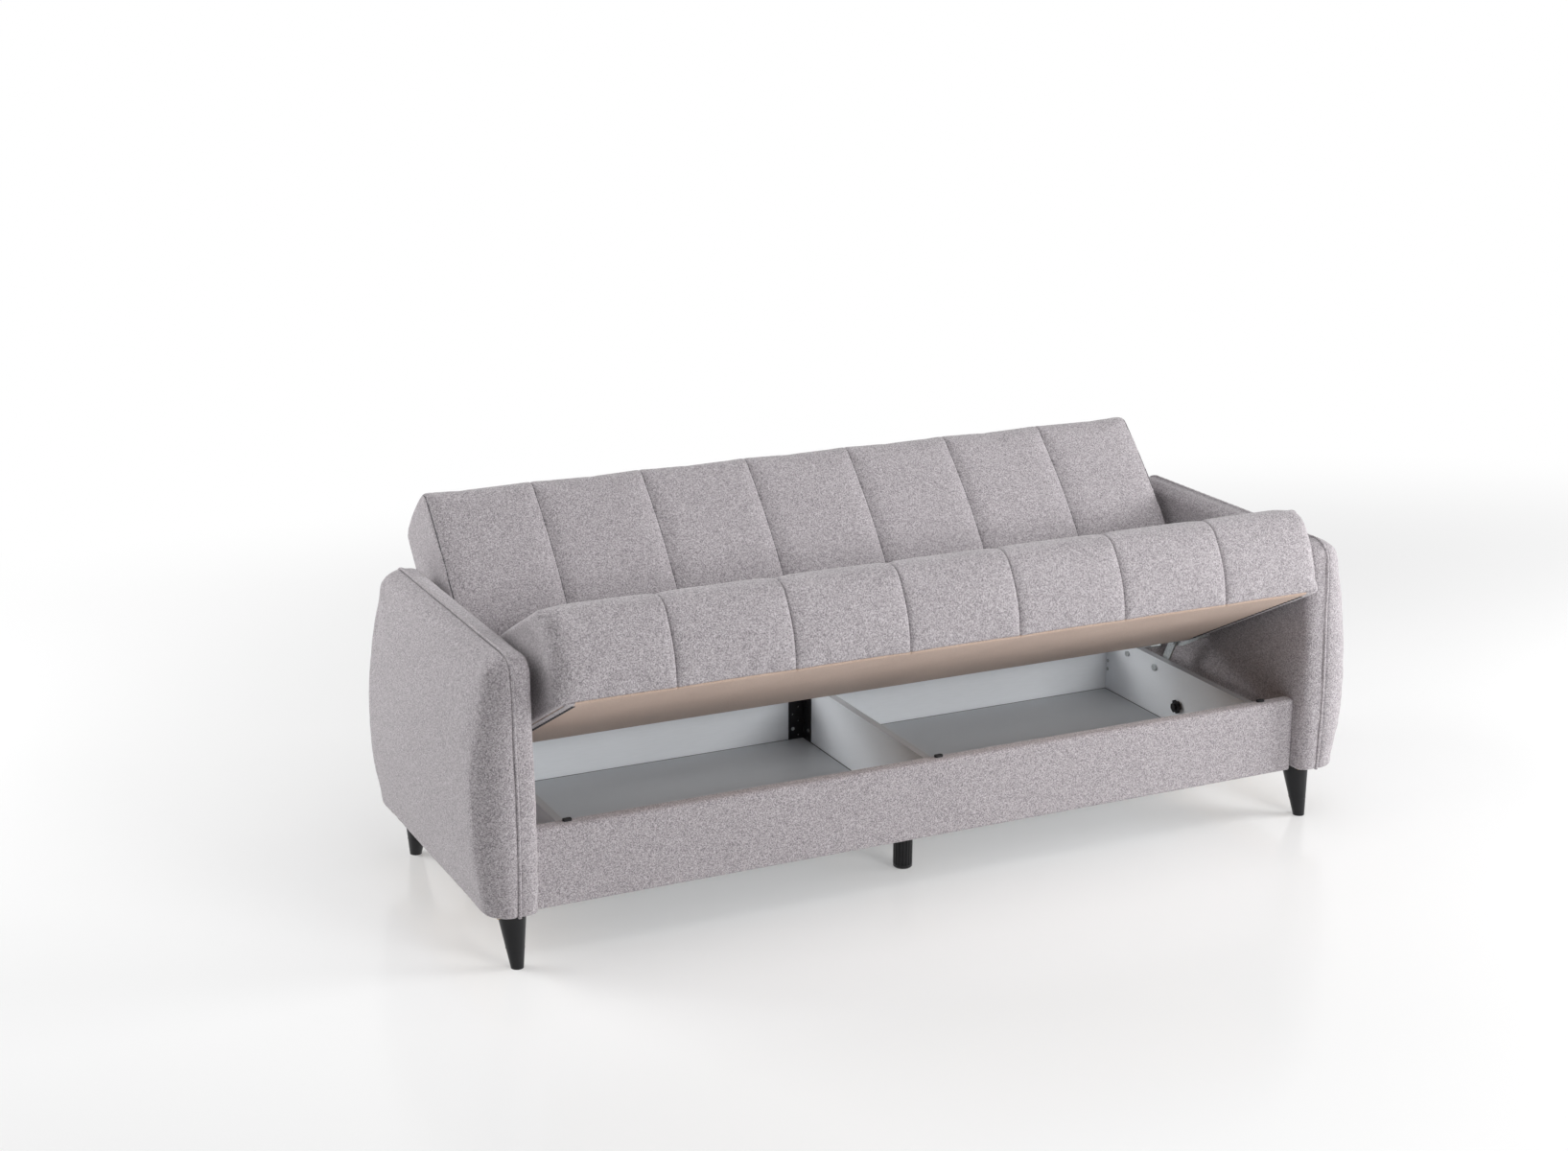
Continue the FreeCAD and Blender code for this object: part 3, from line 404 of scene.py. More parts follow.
def raw_wood():
    finish = Finish("raw_wood")
    solid = finish.place()
    long_rings = finish.scaled(solid, (1.2, 22.0, 26.0))
    long_pores = finish.scaled(solid, (12.0, 260.0, 260.0))
    rings = finish.noise(long_rings, scale=3.2, detail=6.0, roughness=0.62)
    pores = finish.noise(long_pores, scale=3.0)
    colour = finish.mix(pores * 0.35, finish.ramp(rings, *WOOD_COLOURS), PORE_COLOUR)
    bump = finish.bump(rings + 0.6 * pores, 0.3, 0.4 * MM)
    return finish.shade(Base_Color=colour, Roughness=0.62 + 0.2 * pores, Normal=bump)


wood = raw_wood()
print("wood in", len(WOOD_COLOURS), "tones")

# %% [markdown]
# Legs and knobs are moulded plastic, the corner angle is powder coated and the buffers are rubber.
# All are nearly black, and three separate finishes would say the same thing three times. So they
# share one, with a fine even grain and soft smudges, and differ in tone, gloss and grain.

# %% Black finishes
def black_satin(name, tone, roughness, grain_scale, depth):
    finish = Finish(name)
    solid = finish.place()
    grain = finish.noise(solid, grain_scale, detail=3.0, roughness=0.6)
    smudge = finish.noise(solid, scale=14.0, detail=3.0)
    dark = (tone, tone, tone * 1.08)
    smudged = (tone * 1.9, tone * 1.9, tone * 2.05)
    colour = finish.mix(smudge, dark, smudged)
    bump = finish.bump(grain, 0.25, depth)
    worn = roughness + 0.16 * smudge
    return finish.shade(Base_Color=colour, Roughness=worn, Normal=bump, Specular_IOR_Level=0.2)


black_plastic = black_satin(
    "black_plastic", tone=0.011, roughness=0.30, grain_scale=700.0, depth=0.06 * MM)
black_steel = black_satin(
    "black_powder_coat", tone=0.014, roughness=0.42, grain_scale=420.0, depth=0.12 * MM)
rubber = black_satin(
    "black_rubber", tone=0.020, roughness=0.68, grain_scale=300.0, depth=0.15 * MM)
print("three black finishes")

# %% [markdown]
# The brackets, links and screws are zinc plated. Plain grey metal would look like a mirror, so a
# Voronoi pattern gives the plating's small crystals, and stretched noise its faint streaks. The
# elastic webbing in the frames is woven, so it uses the weave again, at its own pitch.

# %% Zinc and webbing
WEBBING_YARN = 2.4 * MM
ZINC_COLOURS = ((0.2, (0.38, 0.40, 0.40)), (0.55, (0.54, 0.56, 0.56)), (0.9, (0.68, 0.70, 0.71)))
WEBBING_COLOURS = ((0.1, (0.10, 0.10, 0.105)), (0.9, (0.26, 0.26, 0.27)))


def zinc():
    finish = Finish("zinc_plate")
    solid = finish.place()
    wanted = {"Vector": solid, "Scale": 240.0}
    crystal = finish.node("TexVoronoi", {"feature": "F1"}, wanted, "Distance")
    upright = finish.scaled(solid, (1.0, 1.0, 0.15))
    streak = finish.noise(upright, scale=160.0, detail=3.0, roughness=0.6)
    metal = finish.ramp(crystal * 0.5 + streak * 0.5, *ZINC_COLOURS)
    bump = finish.bump(streak, 0.15, 0.1 * MM)
    return finish.shade(Base_Color=metal, Metallic=1.0, Roughness=0.26 + 0.2 * streak, Normal=bump)


def elastic_webbing():
    finish = Finish("elastic_webbing")
    height, tone = woven(finish, WEBBING_YARN, finish.place())
    bump = finish.bump(height, 0.5, 0.5 * MM)
    yarn = finish.ramp(tone, *WEBBING_COLOURS)
    return finish.shade(Base_Color=yarn, Roughness=0.85, Normal=bump)


zinc_steel = zinc()
webbing = elastic_webbing()
print("webbing yarn", WEBBING_YARN / MM, "mm")

# %% [markdown]
# Every part of the frame now gets its finish by its material slot. The floor boards share a slot
# with the white walls, so they are told apart by name, and get the darker board with the painted
# shade.

# %% Dress the frame's parts
finishes = {
    "white_board": white_board,
    "raw_wood": wood,
    "black_plastic": black_plastic,
    "black_steel": black_steel,
    "rubber": rubber,
    "webbing": webbing,
    "zinc_steel": zinc_steel,
    "upholstery": plain_cloth,
    "lining": lining_cloth("brown_lining_plain", False),
}


def coat(piece, material):
    """One finish for the whole piece."""
    piece.data.materials.clear()
    piece.data.materials.append(material)


for part in frame["record"]["subparts"]:
    is_floor = part["node"].startswith("box_floor")
    coat(frame["nodes"][part["node"]], shaded_floor_board if is_floor else finishes[part["material_slot"]])

# %% [markdown]
# The floor is a pale sheet that keeps the sofa's soft shadow and a faint reflection. Away from the
# sofa it fades to plain white, which comes from its own colour for the camera and not from more
# light.

# %% Floor
FLOOR_HALF = 14.0
FLOOR_COLOUR = (0.96, 0.96, 0.96)
WHITE = (1.0, 1.0, 1.0)
FADE_SHAPE = (0.62, 1.0, 0.0)
FADE_START = 1.5
FADE_END = 3.4
VEIL = 0.27


def floor_finish():
    """Real floor near the sofa, which the camera sees fade to white between two distances."""
    finish = Finish("studio_floor")
    flat = finish.scaled(finish.place(), FADE_SHAPE)
    reach = finish.node("VectorMath", {"operation": "LENGTH"}, {0: flat}, "Value")
    fade = finish.node(
        "MapRange", {"interpolation_type": "SMOOTHSTEP"},
        {"Value": reach, "From Min": FADE_START, "From Max": FADE_END, "To Min": VEIL},
    )
    seen = finish.node("LightPath", {}, {}, "Is Camera Ray")
    mirrored_ray = finish.node("LightPath", {}, {}, "Is Glossy Ray")
    wanted = {"Base Color": FLOOR_COLOUR, "Roughness": 0.16, "IOR": 1.4}
    real = finish.node("BsdfPrincipled", {}, wanted)
    white = finish.node("Emission", {}, {"Color": WHITE, "Strength": 1.0})
    faded = seen.math("MAXIMUM", fade * seen, mirrored_ray)
    finish.end(finish.node("MixShader", {}, {0: faded, 1: real, 2: white}))
    return finish.material


def fresh():
    """Object mode with nothing selected, as every new piece starts."""
    if bpy.context.mode != "OBJECT":
        bpy.ops.object.mode_set(mode="OBJECT")
    bpy.ops.object.select_all(action="DESELECT")


fresh()
bpy.ops.mesh.primitive_plane_add(size=2 * FLOOR_HALF, location=(0, 0, 0))
floor = bpy.context.active_object
floor.name = "floor"
coat(floor, floor_finish())
print("floor fades from", FADE_START, "to", FADE_END, "m")

# %% [markdown]
# The world is white to the camera, to mirrors and through glass, and only dim as a light, so that
# the lamps shape the sofa.

# %% World
AMBIENT = 0.06

world = bpy.data.worlds.new("studio")
bpy.context.scene.world = world
sky = Finish("sky", world)
direct = sky.node("LightPath", {}, {}, "Is Camera Ray")
glossy = sky.node("LightPath", {}, {}, "Is Glossy Ray")
through = sky.node("LightPath", {}, {}, "Is Transmission Ray")
white_seen = direct.math("MAXIMUM", direct.math("MAXIMUM", direct, glossy), through)
glow = AMBIENT + (1 - AMBIENT) * white_seen
back_light = sky.node("Background", {}, {"Color": WHITE, "Strength": glow})
sky.node("OutputWorld", {}, {"Surface": back_light}, None)
print("world light", AMBIENT)

# %% [markdown]
# Five soft lamps stand in front, to the right, at the left rear, high on the left and above. None
# stands beside the camera at the front left, so the corners that face it stay darker. A sun would
# take one line, but its shadows are hard, and large lamps give the soft ones of a studio.

# %% Lamps
LAMP_AIM = Vector((0, 0, 0.4))


def lamp(name, place, size, power):
    data = bpy.data.lights.new(name, "AREA")
    data.shape = "RECTANGLE"
    data.size, data.size_y = size
    data.energy = power
    made = bpy.data.objects.new(name, data)
    bpy.context.scene.collection.objects.link(made)
    made.location = place
    made.rotation_euler = (LAMP_AIM - Vector(place)).to_track_quat("-Z", "Y").to_euler()
    print(name, power, "W")


lamp("lamp_front", place=(1.8, -5.2, 2.1), size=(2.4, 1.2), power=124)
lamp("lamp_right", place=(4.6, -1.8, 1.6), size=(2.0, 1.4), power=172)
lamp("lamp_left_rear", place=(-3.6, 2.6, 2.0), size=(2.4, 2.0), power=110)
lamp("lamp_left_top", place=(-3.2, 0.5, 3.6), size=(2.4, 2.0), power=36)
lamp("lamp_above", place=(0.2, -1.0, 4.1), size=(4.0, 3.0), power=60)

# %% [markdown]
# The padded parts start as outlines: a chain of points seen from the side. Straight stretches need
# only their ends. A round stretch is an arc through three points, because that is how an
# upholsterer's template is drawn, and a formula fills it in.

# %% Side outlines
def arc(first, through, last, count):
    """Points from first to last, along the circle that goes through all three."""
    a, b, c = (complex(*point) for point in (first, through, last))
    ratio = (c - a) / (b - a)
    centre = a + (b - a) * (ratio - abs(ratio) ** 2) / (2j * ratio.imag)
    sweep = cmath.phase((c - centre) / (a - centre))
    turns = [cmath.exp(1j * sweep * step / count) for step in range(1, count + 1)]
    turned = [centre + (a - centre) * turn for turn in turns]
    return [(point.real, point.imag) for point in turned]


def outline(start, steps, count=7):
    """A side outline. A step of one point is a line, and of two an arc through the first."""
    points = [start]
    for step in steps:
        if len(step) == 1:
            points.append(step[0])
        else:
            points += arc(points[-1], step[0], step[1], count)
    return points


print("arc test", [round(value, 3) for value in arc((0, 0), (1, 1), (2, 0), 2)[0]])

# %% [markdown]
# An outline becomes a face: a small plane is merged to one point, which is pulled out from corner
# to corner in edit mode, and the rim is filled. Pulled out along the sofa, the face is a body. A
# flat curve could be extruded as well, but a mesh can be bevelled and cut at once.

# %% Drawing a body
def outwards():
    """Turns all faces of the piece in edit mode to point outwards."""
    bpy.ops.mesh.select_all(action="SELECT")
    bpy.ops.mesh.normals_make_consistent(inside=False)


def pulled_out(name, points, x, reach):
    """A body with the given side outline, from x on and reach long. Stays in edit mode."""
    fresh()
    corners = [Vector((x, y, z)) for y, z in points]
    bpy.ops.mesh.primitive_plane_add(size=MM, location=corners[0])
    piece = bpy.context.active_object
    piece.name = piece.data.name = name
    bpy.ops.object.transform_apply(location=True)
    bpy.ops.object.mode_set(mode="EDIT")
    bpy.ops.mesh.select_mode(type="VERT")
    bpy.ops.mesh.select_all(action="SELECT")
    bpy.ops.mesh.merge(type="CENTER")
    for here, there in zip(corners, corners[1:]):
        bpy.ops.mesh.extrude_region_move(TRANSFORM_OT_translate={"value": there - here})
    bpy.ops.mesh.select_all(action="SELECT")
    bpy.ops.mesh.edge_face_add()
    bpy.ops.mesh.extrude_region_move(TRANSFORM_OT_translate={"value": (reach, 0, 0)})
    outwards()
    return piece


print("bodies are pulled out along X")

# %% [markdown]
# By hand, points, edges and faces are clicked on. In code they could be picked by number, but the
# numbers change with every cut, and places don't. So a piece gives its places as rows of numbers,
# and a test on them says true or false for each row.

# %% Picking by place
SELECT_MODES = {"vertices": "VERT", "edges": "EDGE", "polygons": "FACE"}


def alone(piece):
    """One piece selected and active, in object mode."""
    fresh()
    piece.select_set(True)
    bpy.context.view_layer.objects.active = piece


def places(piece, kind="vertices"):
    """The places of a piece's points, or the middles of its edges or faces, as rows of numbers."""
    mesh = piece.data
    points = np.empty(len(mesh.vertices) * 3)
    mesh.vertices.foreach_get("co", points)
    points = points.reshape(-1, 3)
    if kind == "vertices":
        return points
    if kind == "edges":
        ends = np.empty(len(mesh.edges) * 2, dtype=np.int64)
        mesh.edges.foreach_get("vertices", ends)
        return points[ends.reshape(-1, 2)].mean(axis=1)
    middles = np.empty(len(mesh.polygons) * 3)
    mesh.polygons.foreach_get("center", middles)
    return middles.reshape(-1, 3)


def choose(piece, kind, wanted):
    """Selects the points, edges or faces that a test picks by place, and stays in edit mode."""
    bpy.ops.object.mode_set(mode="EDIT")
    bpy.ops.mesh.select_mode(type=SELECT_MODES[kind])
    bpy.ops.mesh.select_all(action="DESELECT")
    bpy.ops.object.mode_set(mode="OBJECT")
    getattr(piece.data, kind).foreach_set("select", wanted(places(piece, kind)))
    bpy.ops.object.mode_set(mode="EDIT")


def split_off(piece):
    """Makes what is selected in a piece an object of its own."""
    bpy.ops.mesh.separate(type="SELECTED")
    bpy.ops.object.mode_set(mode="OBJECT")
    return next(made for made in bpy.context.selected_objects if made != piece)


print("picks by place:", ", ".join(SELECT_MODES))

# %% [markdown]
# A cushion is foam that is a little larger than its cover, so the cover is tight and every channel
# swells between the seams that hold it. The core is drawn smaller by that swelling, pulled out
# along the bed, and bevelled round its ends, with a larger round on an upright front corner. A
# voxel remesh turns it into even squares, which cloth needs to move evenly. Their size is a share
# of the channels' spacing, so each seam falls on a row of points.

# %% Cushion core
SWELL = 5.0 * MM
END_ROUND = 11 * MM
CORNER_ROUND = 26 * MM
SQUARES_PER_CHANNEL = 23
VOXEL = PITCH / SQUARES_PER_CHANNEL


def core(name, points, rounded, corner=None):
    """A closed body with the given side outline, in even squares, with its ends rounded.

    The rounded test picks the rims that are free, and the corner test those that get the large
    round of an upright front corner.
    """
    piece = pulled_out(name, points, -CUSHION_HALF, 2 * CUSHION_HALF)

    def free_rim(middles):
        return (abs(abs(middles[:, 0]) - CUSHION_HALF) < MM) & rounded(middles)

    def plain_rim(middles):
        return free_rim(middles) & ~corner(middles) if corner else free_rim(middles)

    if corner:
        choose(piece, "edges", lambda middles: free_rim(middles) & corner(middles))
        bpy.ops.mesh.bevel(offset=CORNER_ROUND, segments=2, profile=0.5, affect="EDGES")
    choose(piece, "edges", plain_rim)
    bpy.ops.mesh.bevel(offset=END_ROUND, segments=4, profile=0.5, affect="EDGES")
    bpy.ops.object.mode_set(mode="OBJECT")
    piece.data.remesh_voxel_size = VOXEL
    bpy.ops.object.voxel_remesh()
    return piece


print("voxel", round(VOXEL / MM, 2), "mm")

# %% [markdown]
# A seam pulls the cover into the foam. A dark line in the finish would show it, but not against
# the light, so it is shaped. The core is cut along the seam and on both sides of it, which keeps
# the crease thin, and the middle row of points is drawn in. Seams, ends and the faces that lie on
# the wooden frame are noted as held, because the cover can't swell there.

# %% Seams
CREASE_HALF = 2.4 * MM
CUT_TOLERANCE = 0.3 * MM
SEAM_TOLERANCE = 0.35 * MM
CREASE_SHARPNESS = 0.9
END_HELD = 8 * MM


def on_seam(points, lines):
    """True for what lies on one of the lines, which are places along X."""
    return np.min(abs(points[:, :1] - np.array(lines)), axis=1) < SEAM_TOLERANCE


def hold(piece, kept):
    """Notes points as held, in a vertex group."""
    held = piece.vertex_groups.get("held") or piece.vertex_groups.new(name="held")
    held.add([int(index) for index in np.flatnonzero(kept)], 1.0, "REPLACE")


def sew(piece, depth, free, lines=seams, half_width=CREASE_HALF):
    """Draws a crease in along each line, where free says that the frame doesn't hold the cover."""
    for seam in lines:
        for x in (seam - half_width, seam, seam + half_width):
            bpy.ops.object.mode_set(mode="EDIT")
            bpy.ops.mesh.select_all(action="SELECT")
            bpy.ops.mesh.bisect(plane_co=(x, 0, 0), plane_no=(1, 0, 0), threshold=CUT_TOLERANCE)
    choose(piece, "vertices", lambda points: on_seam(points, lines) & free(points))
    bpy.ops.transform.shrink_fatten(value=-depth)
    choose(piece, "edges", lambda middles: on_seam(middles, lines) & free(middles))
    bpy.ops.transform.edge_crease(value=CREASE_SHARPNESS)
    bpy.ops.object.mode_set(mode="OBJECT")
    points = places(piece)
    at_end = abs(points[:, 0]) > CUSHION_HALF - END_HELD
    hold(piece, on_seam(points, lines) | at_end | ~free(points))


print("a crease is", round(2 * CREASE_HALF / MM, 1), "mm wide")

# %% [markdown]
# Each channel could be pulled up by hand, but cloth under pressure finds the form by itself. The
# held points are pinned, and a little slack, given as a negative shrink, lets the others move. The
# foam under the cloth resists, so most of what would sink inwards is undone, and no point goes
# past a limit.

# %% Swelling
SWELL_MOST = 7.5 * MM
PRESSURE = 4.0
CLOTH_SLACK = -0.015
MOMENTS = 20
FOAM_RESISTS = 0.7
TINY = 1e-9


def swell(piece, most):
    """Lets the cover fill out under pressure, and holds every point within the given distance."""
    before = places(piece)
    outward = np.empty(before.size)
    piece.data.vertices.foreach_get("normal", outward)
    outward = outward.reshape(-1, 3)
    cover = piece.modifiers.new("cover", "CLOTH")
    cover.settings.use_pressure = True
    cover.settings.uniform_pressure_force = PRESSURE
    cover.settings.vertex_group_mass = "held"
    cover.settings.effector_weights.gravity = 0
    cover.settings.shrink_min = CLOTH_SLACK
    for moment in range(1, MOMENTS + 1):
        bpy.context.scene.frame_set(moment)
    bpy.ops.object.modifier_apply(modifier="cover")
    bpy.context.scene.frame_set(1)
    moved = places(piece) - before
    sunk = np.minimum(np.sum(moved * outward, axis=1, keepdims=True), 0)
    moved = moved - FOAM_RESISTS * sunk * outward
    length = np.linalg.norm(moved, axis=1, keepdims=True)
    reached = most * np.tanh(length / most)
    share = reached / np.maximum(length, TINY)
    piece.data.vertices.foreach_set("co", (before + moved * share).ravel())
    piece.data.update()
    print(piece.name, "swelled", round(float(reached.max()) / MM, 1), "mm, mean",
          round(float(reached.mean()) / MM, 1), "mm")


print("cushions swell up to", SWELL_MOST / MM, "mm")

# %% [markdown]
# The weave needs a map in metres. Unwrapping would need seams to be marked, but a cushion's faces
# look clearly to one side, so each is mapped flat from there. A subdivision then smooths the
# squares, and the creases that were marked stay sharp.

# %% Cloth map
def clothe(piece, material=None, smooth_level=1):
    """Gives a piece a map in metres for the weave to follow, and smooths it."""
    alone(piece)
    bpy.ops.object.mode_set(mode="EDIT")
    bpy.ops.mesh.select_all(action="SELECT")
    bpy.ops.uv.cube_project(cube_size=1.0, correct_aspect=False, scale_to_bounds=False)
    bpy.ops.object.mode_set(mode="OBJECT")
    piece.data.uv_layers.active.name = "cloth"
    if smooth_level:
        smoother = piece.modifiers.new("smooth", "SUBSURF")
        smoother.levels = smoother.render_levels = smooth_level
        bpy.ops.object.modifier_apply(modifier="smooth")
    bpy.ops.object.shade_smooth()
    if material:
        coat(piece, material)


print("one turn of the map is 1 m")

# %% [markdown]
# Cushions are drawn upright and stand at an angle, so a finished piece is put in its place and its
# mesh is moved for good. Each piece then says which body it rides on, and which part of the frame
# it stands for, if any, which is hidden.

# %% Placing and declaring
def stand(piece, place):
    """Puts a piece that was made upright in its own frame where it stands on the sofa."""
    alone(piece)
    piece.matrix_world = place
    bpy.ops.object.transform_apply(location=True, rotation=True, scale=True)


def declared(piece, body, node=None):
    """Hangs a piece on the body it rides on, and hides the part of the frame it stands for."""
    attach(piece, body)
    if node:
        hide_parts(node)


print("seat stands at", round(math.degrees(SEAT_TILT), 1), "degrees")

# %% [markdown]
# Each crease has a dark sewing thread at its bottom. It could be drawn as a path of its own, but
# it would miss the seam wherever the cover swelled. So the crease's own edges are copied out of
# the cover and made a curve with a round bevel.

# %% Seam threads
THREAD_RADIUS = 0.8 * MM
dark_thread = black_satin(
    "dark_thread", tone=0.035, roughness=0.75, grain_scale=900.0, depth=0.05 * MM)


def thread(piece, name, lines, free, body, place):
    """A dark thread in the creases along the given lines."""
    alone(piece)
    choose(piece, "edges", lambda middles: on_seam(middles, lines) & free(middles))
    bpy.ops.mesh.duplicate()
    alone(split_off(piece))
    bpy.ops.object.convert(target="CURVE")
    line = bpy.context.active_object
    line.data.bevel_depth = THREAD_RADIUS
    line.data.bevel_resolution = 1
    bpy.ops.object.convert(target="MESH")
    line = bpy.context.active_object
    line.name = line.data.name = name
    coat(line, dark_thread)
    stand(line, place)
    declared(line, body)
    print(name, len(line.data.polygons), "faces")


print("thread", 2 * THREAD_RADIUS / MM, "mm thick")

# %% [markdown]
# The lining is a second layer on a cushion. A flat sheet would cut through the cover where it
# rounds, so the faces under the lining are marked before the swelling, and are later copied, moved
# out by a little and given a thickness. The lining then rolls over the edge as the cushion does.

# %% Second layer
def marked(piece, wanted):
    """Notes the faces that a second layer will cover, in the piece's second material slot."""
    for name in ("first", "second"):
        piece.data.materials.append(bpy.data.materials.new(name))
    choose(piece, "polygons", wanted)
    piece.active_material_index = 1
    bpy.ops.object.material_slot_assign()
    bpy.ops.object.mode_set(mode="OBJECT")


def second_layer(piece, name, lift, thickness, material):
    """Copies the marked faces, moves them out and gives them a thickness, as a piece of its own."""
    alone(piece)
    bpy.ops.object.mode_set(mode="EDIT")
    bpy.ops.mesh.select_mode(type="FACE")
    bpy.ops.mesh.select_all(action="DESELECT")
    piece.active_material_index = 1
    bpy.ops.object.material_slot_select()
    bpy.ops.mesh.duplicate()
    bpy.ops.transform.shrink_fatten(value=lift)
    layer = split_off(piece)
    layer.name = layer.data.name = name
    alone(layer)
    wall = layer.modifiers.new("wall", "SOLIDIFY")
    wall.thickness = thickness
    wall.offset = -1
    bpy.ops.object.modifier_apply(modifier="wall")
    for made, finish in ((piece, cloth), (layer, material)):
        made.data.polygons.foreach_set("material_index", [0] * len(made.data.polygons))
        coat(made, finish)
    return layer


print("linings are made from the cushions' own faces")

# %% [markdown]
# The seat leans forward from its bottom edge, is fullest near the top, and has a soft front edge
# and large upright rounds at its front corners. Its outline is a toe, the leaning front, a nose,
# the crowned top and the rear edge. The wooden frame holds its underside, which stays flat.

# %% Seat outline
SEAT_DEPTH = 0.538
SEAT_THICKNESS = 0.203
SEAT_FOOT = 3 * MM
SEAT_LEAN = 22 * MM
SEAT_CROWN = 11 * MM
FOOT_MARGIN = 1.5 * MM
CORNER_DEPTH = 12 * MM
CORNER_FOOT = 20 * MM


def seat_outline(inset):
    front = inset
    rear = SEAT_DEPTH - inset
    top = SEAT_THICKNESS - inset
    foot = inset / 2
    toe = [(foot + 2.5 * MM, 6 * MM), (foot - MM, 14 * MM)]
    leaning_front = [(front * 0.6 - 19 * MM, 75 * MM), (front - SEAT_LEAN, 150 * MM)]
    nose = [(front - 12 * MM, top - 14 * MM), (front / 2 + 20 * MM, top + 6 * MM)]
    crown = [(SEAT_DEPTH / 2, top + SEAT_CROWN), (rear - 60 * MM, top + 4 * MM)]
    rear_edge = [(rear - 17 * MM, top - 12 * MM), (rear + MM, top - 54 * MM)]
    rear_foot = [(rear, SEAT_FOOT)]
    start = (foot + 10 * MM, SEAT_FOOT)
    return outline(start, [toe, leaning_front, nose, crown, rear_edge, rear_foot])


def above_foot(points):
    return points[:, 2] > SEAT_FOOT + FOOT_MARGIN


def front_corner(points):
    return (points[:, 1] < CORNER_DEPTH) & (points[:, 2] > CORNER_FOOT)


print("seat outline has", len(seat_outline(SWELL)), "points")

# %% [markdown]
# The seat is made in the order in which its steps were explained: core, seams, marks for the
# lining, swelling, map, and the threads in its creases. The marks come before the swelling, while
# the underside is still flat and easy to pick.

# %% Seat cover
SEAM_DEPTH = 4 * MM
UNDERSIDE_TOP = 5 * MM
UNDERSIDE_END_GAP = 12 * MM
UNDERSIDE_REAR_GAP = 22 * MM


def seat_underside(middles):
    low = middles[:, 2] < UNDERSIDE_TOP
    between_ends = abs(middles[:, 0]) < CUSHION_HALF - UNDERSIDE_END_GAP
    return low & between_ends & (middles[:, 1] < SEAT_DEPTH - UNDERSIDE_REAR_GAP)


seat_cover = core("seat_cover", seat_outline(SWELL), above_foot, front_corner)
sew(seat_cover, SEAM_DEPTH, above_foot)
marked(seat_cover, seat_underside)
swell(seat_cover, SWELL_MOST)
clothe(seat_cover)
thread(seat_cover, "seat_seams", seams, above_foot, "seat", seat_place)
print("seat cover", len(seat_cover.data.polygons), "faces")

# %% [markdown]
# The seat's lining ends a little way in from both ends, where a hem of the upholstery is turned
# over it. Both come from one second layer, whose end faces are split off and finished as the hem.

# %% Seat lining and hem
HEM_WIDTH = 40 * MM

seat_lining = second_layer(
    seat_cover, "seat_lining_cloth", lift=1.7 * MM, thickness=1.2 * MM, material=lining)
choose(seat_lining, "polygons", lambda middles: abs(middles[:, 0]) > CUSHION_HALF - HEM_WIDTH)
seat_hem = split_off(seat_lining)
seat_hem.name = seat_hem.data.name = "seat_hem_cloth"
coat(seat_hem, cloth)
for made in (seat_cover, seat_lining, seat_hem):
    stand(made, seat_place)
declared(seat_cover, "seat", node="seat_cushion")
declared(seat_lining, "seat", "seat_lining")
declared(seat_hem, "seat")
print("lining", len(seat_lining.data.polygons), "faces, hem", len(seat_hem.data.polygons))

# %% [markdown]
# The back's outline starts at the heel, a slant at the foot of its rear. Underside and foot lead
# to an upright front face, and the nose and the crowned top are crisper than the seat's. Its rear
# and its heel lie on the wooden frame, so the cover is held there.

# %% Back outline
BACK_HEIGHT = 0.403
BACK_THICKNESS = 0.197
BACK_HEEL_DEPTH = 95 * MM
BACK_HEEL_HEIGHT = 0.135
BACK_REAR_INSET = 3 * MM
BACK_CROWN = 12 * MM
FRAME_MARGIN = 4 * MM
BACK_UNDERSIDE = 6 * MM


def back_outline(inset):
    front = inset
    top = BACK_HEIGHT - inset
    rear = BACK_THICKNESS - BACK_REAR_INSET
    heel = BACK_HEEL_DEPTH - BACK_REAR_INSET
    underside = [(front * 0.4 + 44 * MM, inset / 2)]
    foot = [(front + 13 * MM, 13 * MM + inset / 2), (front, 48 * MM)]
    front_face = [(front - 10 * MM, top / 2), (front - MM, top - 22 * MM)]
    nose = [(front + 5 * MM, top), (front / 2 + 28 * MM, top + 10 * MM)]
    crown = [(BACK_THICKNESS / 2, top + BACK_CROWN), (rear - 30 * MM, top + 5 * MM)]
    rear_edge = [(rear - 8 * MM, top - 4 * MM), (rear, top - 32 * MM)]
    rear_face = [(rear, BACK_HEEL_HEIGHT)]
    start = (heel, inset / 2)
    return outline(start, [underside, foot, front_face, nose, crown, rear_edge, rear_face])


def off_the_frame(points):
    """True where the back's cover isn't held: not on its rear and not on the slanted heel."""
    rear = BACK_THICKNESS - BACK_REAR_INSET
    slope = (rear - BACK_HEEL_DEPTH) / BACK_HEEL_HEIGHT
    on_frame = np.minimum(rear, BACK_HEEL_DEPTH + slope * points[:, 2])
    behind = points[:, 1] > on_frame - FRAME_MARGIN
    return ~behind & (points[:, 2] > BACK_UNDERSIDE)


print("back outline has", len(back_outline(SWELL)), "points")

# %% [markdown]
# The back is made as the seat was. At each end one more seam, shallower and thinner than the
# others, joins its front to an end panel.

# %% Back cover
END_SEAM_DEPTH = 3 * MM
END_CREASE_HALF = 1.5 * MM
BACK_END_SEAM = CUSHION_HALF - 5 * MM
BACK_LINING_LOW = BACK_HEEL_HEIGHT + 12 * MM
BACK_LINING_HIGH = BACK_HEIGHT - SWELL - 38 * MM
BACK_LINING_HALF = CUSHION_HALF - 32 * MM
end_seams = (-BACK_END_SEAM, BACK_END_SEAM)


